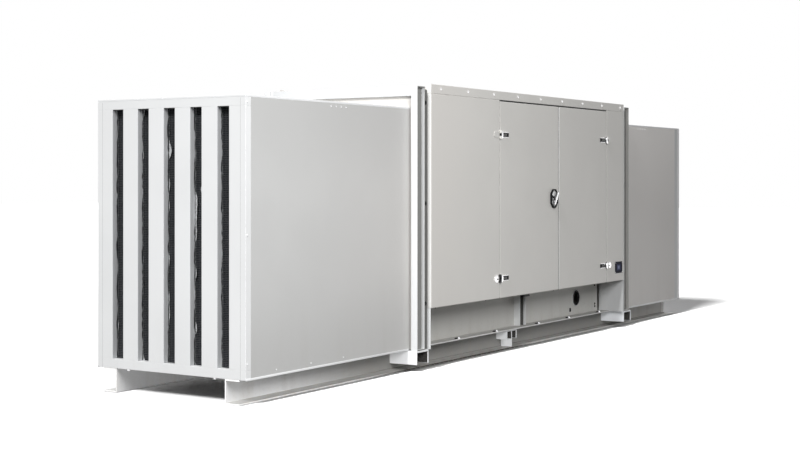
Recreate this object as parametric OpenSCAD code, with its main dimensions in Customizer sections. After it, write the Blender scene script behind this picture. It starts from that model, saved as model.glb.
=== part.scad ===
// Silent generator set: a sound-proofed canopy on a steel skid, with a discharge
// hood at one end, an intake hood at the other, and a pair of doors on each side.
// X runs along the skid, the discharge hood is at -X, and the near side is -Y.

/* [Overall] */
// Length of the canopy over its two end frames
canopy_l = 4305; // [4000:5:4900]
// Width over the side doors and panels
body_w = 1622; // [1600:2:1700]
// Height from the ground to the top of the side headers
body_h = 2375; // [2320:5:2500]
// Height of the doors' lower edge above the ground
door_z = 512; // [480:2:560]

/* [Skid] */
// Height of the skid rails
skid_h = 180; // [160:5:200]
// Width over the webs of the two rails
skid_w = 1050; // [960:10:1100]
// How far the rails stop short of the intake hood's front
skid_inset = 35; // [0:5:100]
// How far a rail's flanges stand out from its web
flange_w = 122; // [100:2:130]
// Thickness of a rail's web
web_t = 8; // [6:1:12]
// Thickness of a rail's flanges
flange_t = 12; // [8:1:16]
// Width of a cross beam between the rails
beam_w = 60; // [50:5:100]
// Height of a cross beam
beam_h = 140; // [100:5:150]
// Thickness of the deck plate
deck_t = 6; // [4:1:10]

/* [Outriggers] */
// Width of an outrigger under an end frame
outrigger_w = 185; // [170:5:220]
// Height of an outrigger
outrigger_h = 108; // [90:2:120]
// Distance of the discharge end's outriggers from their end frame's face
outrigger_in = 83; // [60:1:90]
// Distance of the intake end's outriggers from their end frame's face
outrigger_out = 40; // [20:1:60]
// Thickness of the pad between an outrigger and its post
pad_t = 6; // [4:1:10]
// Width of the middle stub
stub_w = 190; // [150:5:220]
// Height of the middle stub
stub_h = 84; // [70:2:100]
// How far the middle stub stands out from the web
stub_out = 115; // [90:5:118]
// Thickness of the folded plate of outriggers and stubs
bracket_t = 10; // [6:1:14]

/* [End frames] */
// Width of an end frame along the skid
frame_w = 120; // [100:5:140]
// How far an end frame's top lies below the top of the headers
frame_drop = 25; // [10:5:60]
// How far an end frame's posts lie inside the doors' face
frame_setback = 21; // [10:1:30]
// Depth of the top rail of an end frame
frame_rail_h = 81; // [70:1:100]
// Width of an end frame post across the set
post_w = 62; // [54:1:70]
// Depth of the groove in the outer face of a post
groove_d = 28; // [16:1:34]
// Thickness of the lips beside the groove
lip_t = 10; // [6:1:16]
// Strip between an end frame and the side panels
frame_gap = 62; // [50:1:80]
// Set-back of the end wall behind the face of its frame
wall_inset = 25; // [15:1:40]
// Width of the end wall beside its duct
duct_side = 128; // [100:2:180]
// Height of the end wall over its duct
duct_over = 229; // [180:1:300]
// Height of the end wall's sill over the shelf
duct_sill = 8; // [4:1:40]

/* [Air hoods] */
// Length of the discharge hood
discharge_l = 2130; // [1800:5:2400]
// Length of the intake hood
intake_l = 1670; // [1400:5:2000]
// How far a hood's sides lie inside the end frames
hood_setback = 85; // [78:1:100]
// How far the hood roofs lie below the end frames' top
hood_drop = 174; // [150:2:220]
// Thickness of the lined hood walls
hood_t = 50; // [40:2:64]
// Thickness of the roof cap over a hood
cap_t = 15; // [8:1:20]
// Width of an air slot
slot_w = 106; // [90:2:120]
// Pitch of the air slots
slot_pitch = 251.5; // [240:0.5:255]
// Height of the rail under the slots
low_rail_h = 70; // [60:1:90]
// Height of the rail and cap over the slots
top_rail_h = 76; // [66:1:90]
// Depth of the slats and rails
slat_d = 60; // [45:1:80]
// Thickness of the bird mesh
mesh_t = 3; // [2:0.5:6]
// Distance from the splitters' back ends to the hood's inner end
splitter_gap = 150; // [80:10:300]

/* [Doors and side panels] */
// Thickness of the doors and fixed panels
panel_t = 39; // [34:1:44]
// Width of the fixed panel at the discharge end
left_panel_w = 1187; // [1000:1:1250]
// Width of the fixed panel at the intake end
right_panel_w = 432; // [350:1:600]
// Width of the left door's bay: the right door takes the rest
door_left_w = 1194; // [1100:1:1250]
// Gap round a door at the fixed panels
door_gap = 6; // [5:1:10]
// Gap between the two leaves
leaf_gap = 8; // [7:1:12]
// Gap between the doors and the header
head_gap = 12; // [8:1:20]
// Height of the header over the doors
header_h = 78; // [60:1:96]
// Clear gap between a door and the frame behind it
seal_gap = 12; // [8:1:16]
// Depth of the frame behind the panels
side_frame_d = 60; // [50:1:64]
// Width of the door jambs
jamb_w = 60; // [50:1:90]
// How far a jamb stop reaches behind the door
stop_w = 30; // [20:1:40]
// Height of the top beam behind the doors
top_beam_h = 95; // [80:1:120]
// How far the roof sheets lie below the top of the headers
roof_drop = 45; // [30:1:56]
// Thickness of the roof sheets
roof_t = 12; // [8:1:16]
// Gap between the roof sheets, and beside the end frames
roof_gap = 3; // [1:0.5:6]

/* [Sill] */
// Thickness of the shelf that the doors close over
shelf_t = 20; // [10:1:30]
// Thickness of the sill sheets
sill_t = 3; // [2:0.5:6]
// Gap between the sill sheets and the recess end plates at the intake end
sill_end_gap = 50; // [20:5:80]
// Width of the sill post
sill_post_w = 125; // [100:1:150]
// How far the sill post stands out from the sill sheet
sill_post_d = 61; // [50:1:80]
// Distance from the discharge end frame to the sill post
sill_post_x = 2185; // [1900:1:2300]
// Thickness of the corner angle and the recess end plates under the panels
angle_t = 4; // [3:1:6]
// How far the recess end plates stop short of the doors' face
fin_setback = 5; // [3:1:20]
// Radius of the cable entry hole in the near sill
entry_r = 70; // [50:1:90]
// Distance of the hole from the intake end frame's outer face
entry_x = 757; // [600:1:900]
// Height of the hole's centre above the skid
entry_z = 169; // [130:1:190]

/* [Hinges] */
// Distance of the hinge line out from the doors' face
hinge_out = 11; // [10:1:14]
// Radius of a hinge barrel
knuckle_r = 8; // [7:0.5:9]
// Height of a hinge barrel
hinge_h = 76; // [66:2:90]
// Gap between a barrel's knuckles, and round them
knuckle_gap = 1; // [0.5:0.5:2]
// Radius of the hinge pin
pin_r = 4; // [3:0.5:5]
// Radial running clearance of pins and shafts
pin_clearance = 0.1; // [0.05:0.05:0.1]
// Gap between a barrel and the strap on the door
strap_gap = 4; // [3:0.5:6]
// Length of a hinge strap on the door
strap_l = 150; // [100:2:170]
// Height of a hinge strap
strap_h = 40; // [34:1:46]
// Thickness of a hinge strap
strap_t = 5; // [4:0.5:6]
// Length of the leaf on the fixed panel
leaf_l = 101; // [60:1:120]
// Height of the leaf on the fixed panel
leaf_h = 54; // [40:2:60]
// Thickness of the leaf on the fixed panel
leaf_t = 4; // [3:0.5:5]
// Width of the round cheek where a strap or leaf meets its barrel
cheek_w = 22; // [16:1:28]
// Distance of the lower hinges from the doors' lower edge
low_hinge_z = 178; // [120:1:260]
// Distance of the upper hinges from the doors' upper edge
high_hinge_z = 300; // [200:1:400]

/* [Latch] */
// Width of the latch dish
latch_w = 130; // [124:2:150]
// Height of the latch dish
latch_h = 180; // [170:2:200]
// Cut of the dish's corners
latch_cut = 42; // [30:1:50]
// Height of the dish's rim above the door
rim_h = 20; // [14:1:21]
// Width of the dish's rim
rim_w = 7; // [5:1:10]
// Thickness of the dish's floor
dish_t = 3; // [2:0.5:5]
// Distance of the latch from the meeting edge of the doors
latch_in = 116; // [100:1:160]
// Height of the latch above the ground
latch_z = 1398; // [1200:2:1500]
// Radius of the boss that carries the handle
boss_r = 17; // [14:1:20]
// Height of the boss above the door
boss_h = 18; // [15:1:20]
// Radius of the handle's shaft
shaft_r = 8; // [6:0.5:9]
// Gap between the handle's shaft and the dish's floor
shaft_gap = 1; // [0.5:0.5:2]
// Length of the handle bar
handle_l = 136; // [110:2:150]
// Width of the handle bar
handle_w = 22; // [18:1:28]
// Underside of the handle above the door
handle_z = 25; // [25:1:28]
// Thickness of the handle bar
handle_t = 15; // [12:1:18]
// Angle of the handle from upright at rest
handle_angle = 32; // [0:1:45]
// Radius of the lock beside the boss
lock_r = 10; // [8:1:11]
// Height of the lock above the door
lock_h = 16; // [10:1:18]
// Distance of the lock from the handle's axis
lock_in = 38; // [35:1:40]
// How far the lock lies below the handle's axis
lock_drop = 5; // [0:1:12]

/* [Label] */
// Width of the label plate
label_w = 186; // [150:2:220]
// Height of the label plate
label_h = 121; // [100:1:130]
// Thickness of the label plate
label_t = 2; // [1:0.5:3]
// Distance of the label plate from the fixed panel's outer edge
label_edge = 41; // [15:1:60]
// Distance of the plate's lower edge above the panel's
label_up = 81; // [60:1:160]

/* [Engine and alternator] */
// Thickness of the radiator, from the end wall's face
radiator_t = 155; // [120:5:180]
// Gap between the radiator and the fan
fan_gap = 60; // [40:5:80]
// Diameter of the cooling fan
fan_d = 1060; // [900:10:1100]
// Thickness of the fan's hub
fan_t = 60; // [40:5:80]
// Radius of the fan's hub
hub_r = 132; // [130:2:160]
// Width of a fan blade
blade_w = 88; // [60:2:88]
// Radius of the fan's drive shaft
drive_r = 60; // [40:5:80]
// Length of the drive shaft behind the hub
drive_l = 80; // [60:5:120]
// Height of the fan's shaft above the ground
fan_z = 1000; // [960:10:1020]
// Length of the engine block
engine_l = 1750; // [1500:10:1850]
// Width of the engine block
engine_w = 560; // [480:10:620]
// Height of the engine block
engine_h = 490; // [440:10:560]
// Height of the crankshaft above the ground
shaft_z = 760; // [720:5:800]
// How far the block reaches below the crankshaft
crank_drop = 160; // [120:5:200]
// How far the sump lies inside the block's sides and front
sump_in = 60; // [60:5:100]
// Length of the flywheel housing behind the sump
flywheel_l = 200; // [150:10:260]
// Gap between the sump and the deck
sump_gap = 90; // [60:5:120]
// Width of a cylinder head across the engine
head_w = 340; // [280:10:400]
// Height of a cylinder head
head_h = 150; // [120:5:180]
// Gap between two cylinder heads
heads_gap = 20; // [10:1:30]
// Radius of the alternator
alternator_r = 330; // [280:5:345]
// Length of the alternator
alternator_l = 1050; // [900:10:1200]
// Length of the alternator's terminal box
terminal_l = 600; // [400:10:700]
// Width of the terminal box
terminal_w = 520; // [400:10:560]
// Height of the terminal box above the alternator
terminal_h = 190; // [120:5:200]
// Distance of the terminal box from the alternator's end
terminal_in = 100; // [50:5:150]
// Width of an engine bearer
bearer_w = 100; // [80:5:120]
// Height of the engine bearers
bearer_h = 150; // [120:5:180]
// How far the bearers reach beyond the engine's front
bearer_lead = 40; // [20:5:60]
// Length of a mounting foot
foot_l = 140; // [100:5:180]

/* [Hidden] */
$fn = 48;

paint = [0.80, 0.81, 0.80];
bright_paint = [0.88, 0.89, 0.88];
lining = [0.13, 0.13, 0.14];
black = [0.06, 0.06, 0.07];
chrome = [0.72, 0.73, 0.74];

// A cut reaches this far past the faces that it opens
past = 1;

// Places along X
x_front = -(discharge_l + canopy_l + intake_l) / 2;
x_back = -x_front;
x_a = x_front + discharge_l;
x_b = x_a + canopy_l;
x_pa = x_a + frame_w + frame_gap;
x_pb = x_b - frame_w - frame_gap;
x_da = x_pa + left_panel_w;
x_db = x_pb - right_panel_w;
x_meet = x_da + door_left_w;
x_hinge_a = x_da + door_gap / 2;
x_hinge_b = x_db - door_gap / 2;

// Places across Y, as half widths
y_face = body_w / 2;
y_panel = y_face - panel_t;
y_seal = y_panel - seal_gap;
y_inner = y_seal - side_frame_d;
y_web = skid_w / 2;
y_frame = y_face - frame_setback;
y_post = y_frame - post_w;
y_duct = y_post - duct_side;
y_hood = y_frame - hood_setback;
y_hinge = y_face + hinge_out;

// Places up Z
z_header = body_h - header_h;
z_door_top = z_header - head_gap;
z_roof = body_h - roof_drop;
z_beam = z_roof - top_beam_h;
z_frame = body_h - frame_drop;
z_frame_rail = z_frame - frame_rail_h;
z_shelf = door_z + shelf_t;
z_duct = z_shelf + duct_sill;
z_duct_top = z_frame_rail - duct_over;
z_hood = z_frame - hood_drop;
z_cap = z_hood - cap_t;
z_slot_a = skid_h + low_rail_h;
z_slot_b = z_hood - top_rail_h;
z_flange = skid_h - flange_t;
z_foot = z_flange + pad_t;
z_deck = skid_h + deck_t;
z_bearer = z_deck + bearer_h;
z_block = shaft_z - crank_drop;
low_hinge = door_z + low_hinge_z;
high_hinge = z_door_top - high_hinge_z;

// A box given by its lowest and highest corners
module slab(a, b) {
    translate(a) cube(b - a);
}

// The children and their mirror image across the set's long middle plane
module both_sides() {
    children();
    mirror([0, 1, 0]) children();
}

// Children made for the near side, moved to the far side
module far_side() {
    mirror([0, 1, 0]) children();
}

// The children and their mirror image across the middle of a span along X
module both_ends(x0, x1) {
    children();
    translate([x0 + x1, 0, 0]) mirror([1, 0, 0]) children();
}

// Rails: two channels, open outwards
module skid_rails() {
    x1 = x_back - skid_inset;
    color(paint) both_sides() difference() {
        slab([x_front, -y_web - flange_w, 0], [x1, -y_web + web_t, skid_h]);
        slab([x_front - past, -y_web - flange_w - past, flange_t], [x1 + past, -y_web, z_flange]);
    }
}

// Cross beams: one under each hood, one under each end frame, three between
beam_xs = [x_front + discharge_l / 2, x_a + frame_w / 2,
           for (i = [1 : 3]) x_a + canopy_l * i / 4,
           x_b - frame_w / 2, x_back - intake_l / 2];

module cross_beams() {
    color(paint) for (x = beam_xs)
        slab([x - beam_w / 2, -y_web + web_t, skid_h - beam_h], [x + beam_w / 2, y_web - web_t, skid_h]);
}

module deck_plate() {
    color(paint) slab([x_a + frame_w, -y_web + web_t, skid_h], [x_b - frame_w, y_web - web_t, z_deck]);
}

// A channel under the rail's upper flange, open downwards, that reaches out from the web
module downward_channel(x, width, height, reach) {
    difference() {
        slab([x - width / 2, -y_web - reach, z_flange - height], [x + width / 2, -y_web, z_flange]);
        slab([x - width / 2 + bracket_t, -y_web - reach - past, z_flange - height - past],
             [x + width / 2 - bracket_t, -y_web + past, z_flange - bracket_t]);
    }
}

// Outriggers, each with a pad for the end frame's post beyond the rail's flange
module outriggers() {
    color(bright_paint) both_sides() for (x = [x_a + outrigger_in, x_b - outrigger_out]) {
        downward_channel(x, outrigger_w, outrigger_h, y_frame - y_web);
        slab([x - outrigger_w / 2, -y_frame, z_flange - bracket_t],
             [x + outrigger_w / 2, -y_web - flange_w, z_foot]);
    }
}

// Middle stubs, each with a gusset that reaches down to the lower flange
module skid_stubs() {
    color(bright_paint) both_sides() {
        downward_channel(0, stub_w, stub_h, stub_out);
        slab([-bracket_t / 2, -y_web - stub_out, flange_t],
             [bracket_t / 2, -y_web, z_flange - bracket_t / 2]);
    }
}

module sill_sheet() {
    slab([x_a + frame_w, -y_web, skid_h], [x_pb - sill_end_gap, -y_web + sill_t, door_z]);
}

module sill_panel_near() {
    color(paint) difference() {
        sill_sheet();
        translate([x_b - entry_x, -y_web + sill_t / 2, skid_h + entry_z])
            rotate([90, 0, 0]) cylinder(r = entry_r, h = sill_t + 2 * past, center = true);
    }
}

module sill_panel_far() {
    color(paint) far_side() sill_sheet();
}

// A short upright channel, open outwards, that stiffens the sill
module sill_posts() {
    x = x_a + sill_post_x;
    color(paint) both_sides() difference() {
        slab([x, -y_web - sill_post_d, skid_h], [x + sill_post_w, -y_web, door_z]);
        slab([x + bracket_t, -y_web - sill_post_d - past, skid_h - past],
             [x + sill_post_w - bracket_t, -y_web - bracket_t, door_z + past]);
    }
}

// Shelves that close the canopy's underside between the sills and the doors
module door_shelves() {
    color(paint) both_sides()
        slab([x_a + frame_w, -y_seal, door_z], [x_b - frame_w, -y_web + sill_t, z_shelf]);
}

// End frame posts: box posts with a groove down the outer face
module end_frame_posts() {
    color(bright_paint) both_sides() for (x = [x_a, x_b - frame_w]) difference() {
        slab([x, -y_frame, z_foot], [x + frame_w, -y_post, z_frame]);
        slab([x + lip_t, -y_frame - past, z_foot + lip_t],
             [x + frame_w - lip_t, -y_frame + groove_d, z_frame - lip_t]);
    }
}

module end_frame_rails() {
    color(bright_paint) for (x = [x_a, x_b - frame_w])
        slab([x, -y_post, z_frame_rail], [x + frame_w, y_post, z_frame]);
}

// Insulated end walls, each with a duct opening
module end_wall_sides() {
    color(paint) both_sides() both_ends(x_a, x_b)
        slab([x_a + wall_inset, -y_post, skid_h], [x_a + frame_w, -y_duct, z_frame_rail]);
}

module end_wall_beams() {
    color(paint) both_ends(x_a, x_b) for (z = [[skid_h, z_duct], [z_duct_top, z_frame_rail]])
        slab([x_a + wall_inset, -y_duct, z[0]], [x_a + frame_w, y_duct, z[1]]);
}

// Corner post behind a panel's outer edge, with a folded angle below it whose
// plate closes the end of the recess under the doors
module corner_post() {
    x0 = x_a + frame_w;
    y_flange = y_web + flange_w;
    slab([x0, -y_panel, z_shelf], [x_pa + jamb_w, -y_inner, z_header]);
    slab([x0, -y_panel, z_shelf], [x_pa, -y_inner, z_roof]);
    slab([x0, -y_seal, z_shelf], [x_pa + jamb_w, -y_inner, z_roof]);
    slab([x0, -y_panel, z_foot], [x_pa, -y_panel + angle_t, z_shelf]);
    slab([x_pa, -y_face + fin_setback, z_foot], [x_pa + angle_t, -y_flange, door_z]);
    slab([x_pa, -y_flange - past, skid_h], [x_pa + angle_t, -y_web, door_z]);
}

module corner_posts() {
    color(paint) both_sides() both_ends(x_a, x_b) corner_post();
}

// Door jamb: a post behind the fixed panel's edge with a stop behind the door
module door_jamb() {
    slab([x_da - jamb_w, -y_panel, z_shelf], [x_da, -y_inner, z_beam]);
    slab([x_da - jamb_w, -y_seal, z_shelf], [x_da + stop_w, -y_inner, z_beam]);
}

module door_jambs() {
    color(paint) both_sides() both_ends(x_da, x_db) door_jamb();
}

module top_beams() {
    color(paint) both_sides()
        slab([x_pa + jamb_w, -y_seal, z_beam], [x_pb - jamb_w, -y_inner, z_roof]);
}

// Roof sheets in three lengths, lying on the top beams and corner posts
module roof_panels() {
    count = 3;
    pitch = (canopy_l - 2 * frame_w) / count;
    color(paint) for (i = [0 : count - 1])
        slab([x_a + frame_w + i * pitch + roof_gap / 2, -y_seal, z_roof],
             [x_a + frame_w + (i + 1) * pitch - roof_gap / 2, y_seal, z_roof + roof_t]);
}

module headers() {
    color(paint) both_sides()
        slab([x_pa, -y_face, z_header], [x_pb, -y_seal, body_h]);
}

// A fixed side panel or a door leaf between two places along X
module side_panel(x0, x1, top) {
    slab([x0, -y_face, door_z], [x1, -y_panel, top]);
}

module left_panel() {
    side_panel(x_pa, x_da, z_header);
}

module right_panel() {
    side_panel(x_db, x_pb, z_header);
}

module left_leaf() {
    side_panel(x_da + door_gap, x_meet - leaf_gap / 2, z_door_top);
}

module right_leaf() {
    side_panel(x_meet + leaf_gap / 2, x_db - door_gap, z_door_top);
}

module near_panel_left() {
    color(paint) left_panel();
}

module near_panel_right() {
    color(paint) right_panel();
}

module far_panels() {
    color(paint) far_side() {
        left_panel();
        right_panel();
    }
}

module far_doors() {
    color(paint) far_side() {
        left_leaf();
        right_leaf();
    }
}

module door_left() {
    color(paint) left_leaf();
}

module door_right() {
    color(paint) right_leaf();
}

// Hinge in its own frame: the pin is the Z axis, the door's face is the plane
// y = hinge_out, the door lies towards +X and the fixed panel towards -X
knuckle_h = hinge_h / 3;
middle_h = knuckle_h - 2 * knuckle_gap;

// A plate that lies on the door's face from x = start, with a round cheek at
// the barrel and, for a fixed leaf, a round far end
module hinge_plate(start, length, height, thick, round_end) {
    translate([0, hinge_out, 0]) rotate([90, 0, 0]) linear_extrude(thick) {
        translate([start, -height / 2]) square([length - (round_end ? height / 2 : 0), height]);
        if (round_end) translate([start + length - height / 2, 0]) circle(d = height);
        intersection() {
            circle(d = hinge_h);
            translate([start, -hinge_h / 2]) square([cheek_w, hinge_h]);
        }
    }
}

module strap_plate() {
    hinge_plate(knuckle_r + strap_gap, strap_l, strap_h, strap_t, false);
}

module leaf_plate() {
    mirror([1, 0, 0]) hinge_plate(knuckle_r + knuckle_gap, leaf_l, leaf_h, leaf_t, true);
}

// The strap's tongue reaches over the strap gap to the middle knuckle
module hinge_strap() {
    difference() {
        union() {
            strap_plate();
            translate([0, hinge_out - strap_t, -middle_h / 2])
                cube([knuckle_r + strap_gap + past, strap_t, middle_h]);
            cylinder(r = knuckle_r, h = middle_h, center = true);
        }
        cylinder(r = pin_r + pin_clearance, h = hinge_h, center = true);
    }
}

// The fixed leaf carries the pin and the two outer knuckles
module hinge_leaf() {
    reach = knuckle_r + knuckle_gap + past;
    leaf_plate();
    cylinder(r = pin_r, h = hinge_h - 2 * knuckle_gap, center = true);
    for (z = [-knuckle_h, knuckle_h]) translate([0, 0, z]) {
        cylinder(r = knuckle_r, h = knuckle_h, center = true);
        translate([-reach, hinge_out - leaf_t, -knuckle_h / 2]) cube([reach, leaf_t, knuckle_h]);
    }
}

// The far doors are fixed here, so each of their hinges is one solid
module far_hinge() {
    reach = knuckle_r + strap_gap + past;
    cylinder(r = knuckle_r, h = hinge_h, center = true);
    translate([-reach, hinge_out - leaf_t, -knuckle_h / 2]) cube([2 * reach, leaf_t, knuckle_h]);
    leaf_plate();
    strap_plate();
}

// Children at both hinges of the left door, in the hinge's own frame
module at_left_hinges() {
    for (z = [low_hinge, high_hinge]) translate([x_hinge_a, -y_hinge, z]) children();
}

module at_right_hinges() {
    for (z = [low_hinge, high_hinge]) translate([x_hinge_b, -y_hinge, z]) mirror([1, 0, 0]) children();
}

module door_left_straps() {
    color(black) at_left_hinges() hinge_strap();
}

module door_right_straps() {
    color(black) at_right_hinges() hinge_strap();
}

module hinge_leaves() {
    color(chrome) {
        at_left_hinges() hinge_leaf();
        at_right_hinges() hinge_leaf();
    }
}

module far_hinges() {
    color(black) far_side() {
        at_left_hinges() far_hinge();
        at_right_hinges() far_hinge();
    }
}

// Latch in its own frame: Z is up, the door's face is y = 0, outward is -Y
module at_latch() {
    translate([x_meet - latch_in, -y_face, latch_z]) children();
}

// An octagon: the dish's outline, or its hollow when it is inset by the rim
module dish_outline(inset) {
    w = latch_w / 2 - inset;
    h = latch_h / 2 - inset;
    cut = latch_cut - inset / 2;
    polygon([[-w + cut, -h], [w - cut, -h], [w, -h + cut], [w, h - cut],
             [w - cut, h], [-w + cut, h], [-w, h - cut], [-w, -h + cut]]);
}

module dish() {
    rotate([90, 0, 0]) {
        difference() {
            linear_extrude(rim_h) dish_outline(0);
            translate([0, 0, dish_t]) linear_extrude(rim_h) dish_outline(rim_w);
        }
        cylinder(r = boss_r, h = boss_h);
        translate([-lock_in, -lock_drop, 0]) cylinder(r = lock_r, h = lock_h);
    }
}

module latch_dish() {
    color(black) at_latch() difference() {
        dish();
        translate([0, -dish_t, 0]) rotate([90, 0, 0]) cylinder(r = shaft_r + pin_clearance, h = boss_h);
    }
}

module handle_bar() {
    rotate([90, 0, 0]) translate([0, 0, handle_z]) linear_extrude(handle_t) {
        circle(r = boss_r);
        rotate(-handle_angle) {
            square([handle_w, handle_l - handle_w], center = true);
            for (s = [-1, 1]) translate([0, s * (handle_l - handle_w) / 2]) circle(d = handle_w);
        }
    }
}

module latch_handle() {
    color(chrome) at_latch() {
        handle_bar();
        translate([0, -dish_t - shaft_gap, 0])
            rotate([90, 0, 0]) cylinder(r = shaft_r, h = handle_z - dish_t);
    }
}

module far_latch() {
    color(black) far_side() at_latch() {
        dish();
        handle_bar();
        rotate([90, 0, 0]) cylinder(r = shaft_r, h = handle_z + past);
    }
}

module label_plate() {
    x = x_pb - label_edge;
    z = door_z + label_up;
    color("midnightblue") slab([x - label_w, -y_face - label_t, z], [x, -y_face, z + label_h]);
}

// Hood pieces, drawn for a hood whose slotted front is at x = 0 and whose inner
// end is at x = length
module at_discharge() {
    translate([x_front, 0, 0]) children();
}

module at_intake() {
    translate([x_back, 0, 0]) mirror([1, 0, 0]) children();
}

module hood_wall(length) {
    both_sides() slab([slat_d, -y_hood, skid_h], [length + wall_inset, -y_hood + hood_t, z_cap]);
}

module hood_walls() {
    color(paint) {
        at_discharge() hood_wall(discharge_l);
        at_intake() hood_wall(intake_l);
    }
}

// Lined floor and ceiling between the walls
module hood_lining(length) {
    for (z = [skid_h, z_cap - hood_t])
        slab([slat_d, -y_hood + hood_t, z], [length + wall_inset, y_hood - hood_t, z + hood_t]);
}

module hood_linings() {
    color(paint) {
        at_discharge() hood_lining(discharge_l);
        at_intake() hood_lining(intake_l);
    }
}

module hood_cap(length) {
    slab([0, -y_hood, z_cap], [length + wall_inset, y_hood, z_hood]);
}

module hood_caps() {
    color(bright_paint) {
        at_discharge() hood_cap(discharge_l);
        at_intake() hood_cap(intake_l);
    }
}

// Rails over and under the slots of a hood's front
module front_rails() {
    for (z = [[skid_h, z_slot_a], [z_slot_b, z_cap]])
        slab([0, -y_hood, z[0]], [slat_d, y_hood, z[1]]);
}

module hood_rails() {
    color(bright_paint) {
        at_discharge() front_rails();
        at_intake() front_rails();
    }
}

// Places of the slats across Y, as pairs of edges: the slots lie between them
slot_ys = [for (i = [-2 : 2]) i * slot_pitch];
slat_edges = concat([-y_hood], [for (y = slot_ys) each [y - slot_w / 2, y + slot_w / 2]], [y_hood]);
slat_pairs = [for (i = [0 : 2 : len(slat_edges) - 2]) [slat_edges[i], slat_edges[i + 1]]];

module front_slats() {
    for (pair = slat_pairs) slab([0, pair[0], z_slot_a], [slat_d, pair[1], z_slot_b]);
}

module hood_slats() {
    color(bright_paint) {
        at_discharge() front_slats();
        at_intake() front_slats();
    }
}

module mesh_sheet() {
    edge = y_hood - hood_t;
    slab([slat_d, -edge, skid_h + hood_t], [slat_d + mesh_t, edge, z_cap - hood_t]);
}

module bird_mesh() {
    color(black) {
        at_discharge() mesh_sheet();
        at_intake() mesh_sheet();
    }
}

// Sound-absorbing baffles behind the slats
module splitters(length) {
    edge = y_hood - hood_t;
    for (pair = slat_pairs)
        slab([slat_d + mesh_t, max(pair[0], -edge), skid_h + hood_t],
             [length - splitter_gap, min(pair[1], edge), z_cap - hood_t]);
}

module sound_splitters() {
    color(lining) {
        at_discharge() splitters(discharge_l);
        at_intake() splitters(intake_l);
    }
}

// The radiator fills the discharge end's duct, with the fan and engine behind it
x_radiator = x_a + wall_inset + radiator_t;
x_fan = x_radiator + fan_gap;
x_engine = x_fan + fan_t + drive_l;
x_alternator = x_engine + engine_l;
x_tail = x_alternator + alternator_l;

module radiator() {
    color(black) slab([x_a + wall_inset, -y_duct, z_duct], [x_radiator, y_duct, z_duct_top]);
}

module along_x(x, z) {
    translate([x, 0, z]) rotate([0, 90, 0]) children();
}

// Fan: a hub with its drive shaft, and flat blades rooted in the hub
module fan() {
    blades = 8;
    root = hub_r * 0.85;
    color(black) along_x(x_fan, fan_z) {
        rotate_extrude() polygon([[0, 0], [hub_r, 0], [hub_r, fan_t], [drive_r, fan_t],
                                  [drive_r, fan_t + drive_l], [0, fan_t + drive_l]]);
        for (i = [0 : blades - 1]) rotate(i * 360 / blades)
            translate([root, -blade_w / 2, fan_t / 4]) cube([fan_d / 2 - root, blade_w, fan_t / 2]);
    }
}

// A pair of mounting feet that stand on the bearers, up to a height inside the machine
y_foot = engine_w / 2 + bearer_w / 2;

module feet(x, top) {
    both_sides() slab([x, -y_foot, z_bearer], [x + foot_l, -y_foot + bearer_w, top]);
}

module engine_block() {
    color("dimgray") {
        slab([x_engine, -engine_w / 2, z_block], [x_alternator, engine_w / 2, z_block + engine_h]);
        slab([x_engine + sump_in, -engine_w / 2 + sump_in, z_deck + sump_gap],
             [x_alternator - flywheel_l, engine_w / 2 - sump_in, shaft_z]);
        feet(x_engine + sump_in, shaft_z);
        feet(x_alternator - flywheel_l, shaft_z);
    }
}

module cylinder_heads() {
    count = 6;
    pitch = engine_l / count;
    z = z_block + engine_h;
    color("gray") for (i = [0 : count - 1])
        slab([x_engine + i * pitch + heads_gap / 2, -head_w / 2, z],
             [x_engine + (i + 1) * pitch - heads_gap / 2, head_w / 2, z + head_h]);
}

module alternator() {
    x1 = x_tail - terminal_in;
    color("slategray") {
        along_x(x_alternator, shaft_z) cylinder(r = alternator_r, h = alternator_l);
        slab([x1 - terminal_l, -terminal_w / 2, shaft_z],
             [x1, terminal_w / 2, shaft_z + alternator_r + terminal_h]);
        feet(x1 - foot_l, shaft_z - alternator_r / 4);
    }
}

module engine_bearers() {
    color(black) both_sides()
        slab([x_engine - bearer_lead, -y_foot, z_deck], [x_tail, -y_foot + bearer_w, z_bearer]);
}

skid_rails();
cross_beams();
deck_plate();
outriggers();
skid_stubs();
sill_panel_near();
sill_panel_far();
sill_posts();
door_shelves();
end_frame_posts();
end_frame_rails();
end_wall_sides();
end_wall_beams();
corner_posts();
door_jambs();
top_beams();
roof_panels();
headers();
near_panel_left();
near_panel_right();
far_panels();
far_doors();
door_left();
door_right();
door_left_straps();
door_right_straps();
hinge_leaves();
far_hinges();
latch_dish();
latch_handle();
far_latch();
label_plate();
hood_walls();
hood_linings();
hood_caps();
hood_rails();
hood_slats();
bird_mesh();
sound_splitters();
radiator();
fan();
engine_block();
cylinder_heads();
alternator();
engine_bearers();
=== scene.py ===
# %% [markdown]
# # A silent generator set
# A diesel engine and its alternator stand on a steel skid inside a lined canopy.
# Warm air leaves through the long hood at the left end, cool air comes in through
# the hood at the right end, and two doors on each side lead to the machine.
# The solid shapes come from the CAD model and stay where they are. This lesson
# gives them their finishes and adds the small parts that a CAD model leaves out.

import math

import bmesh
import bpy
from mathutils import Matrix, Vector, noise


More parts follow.
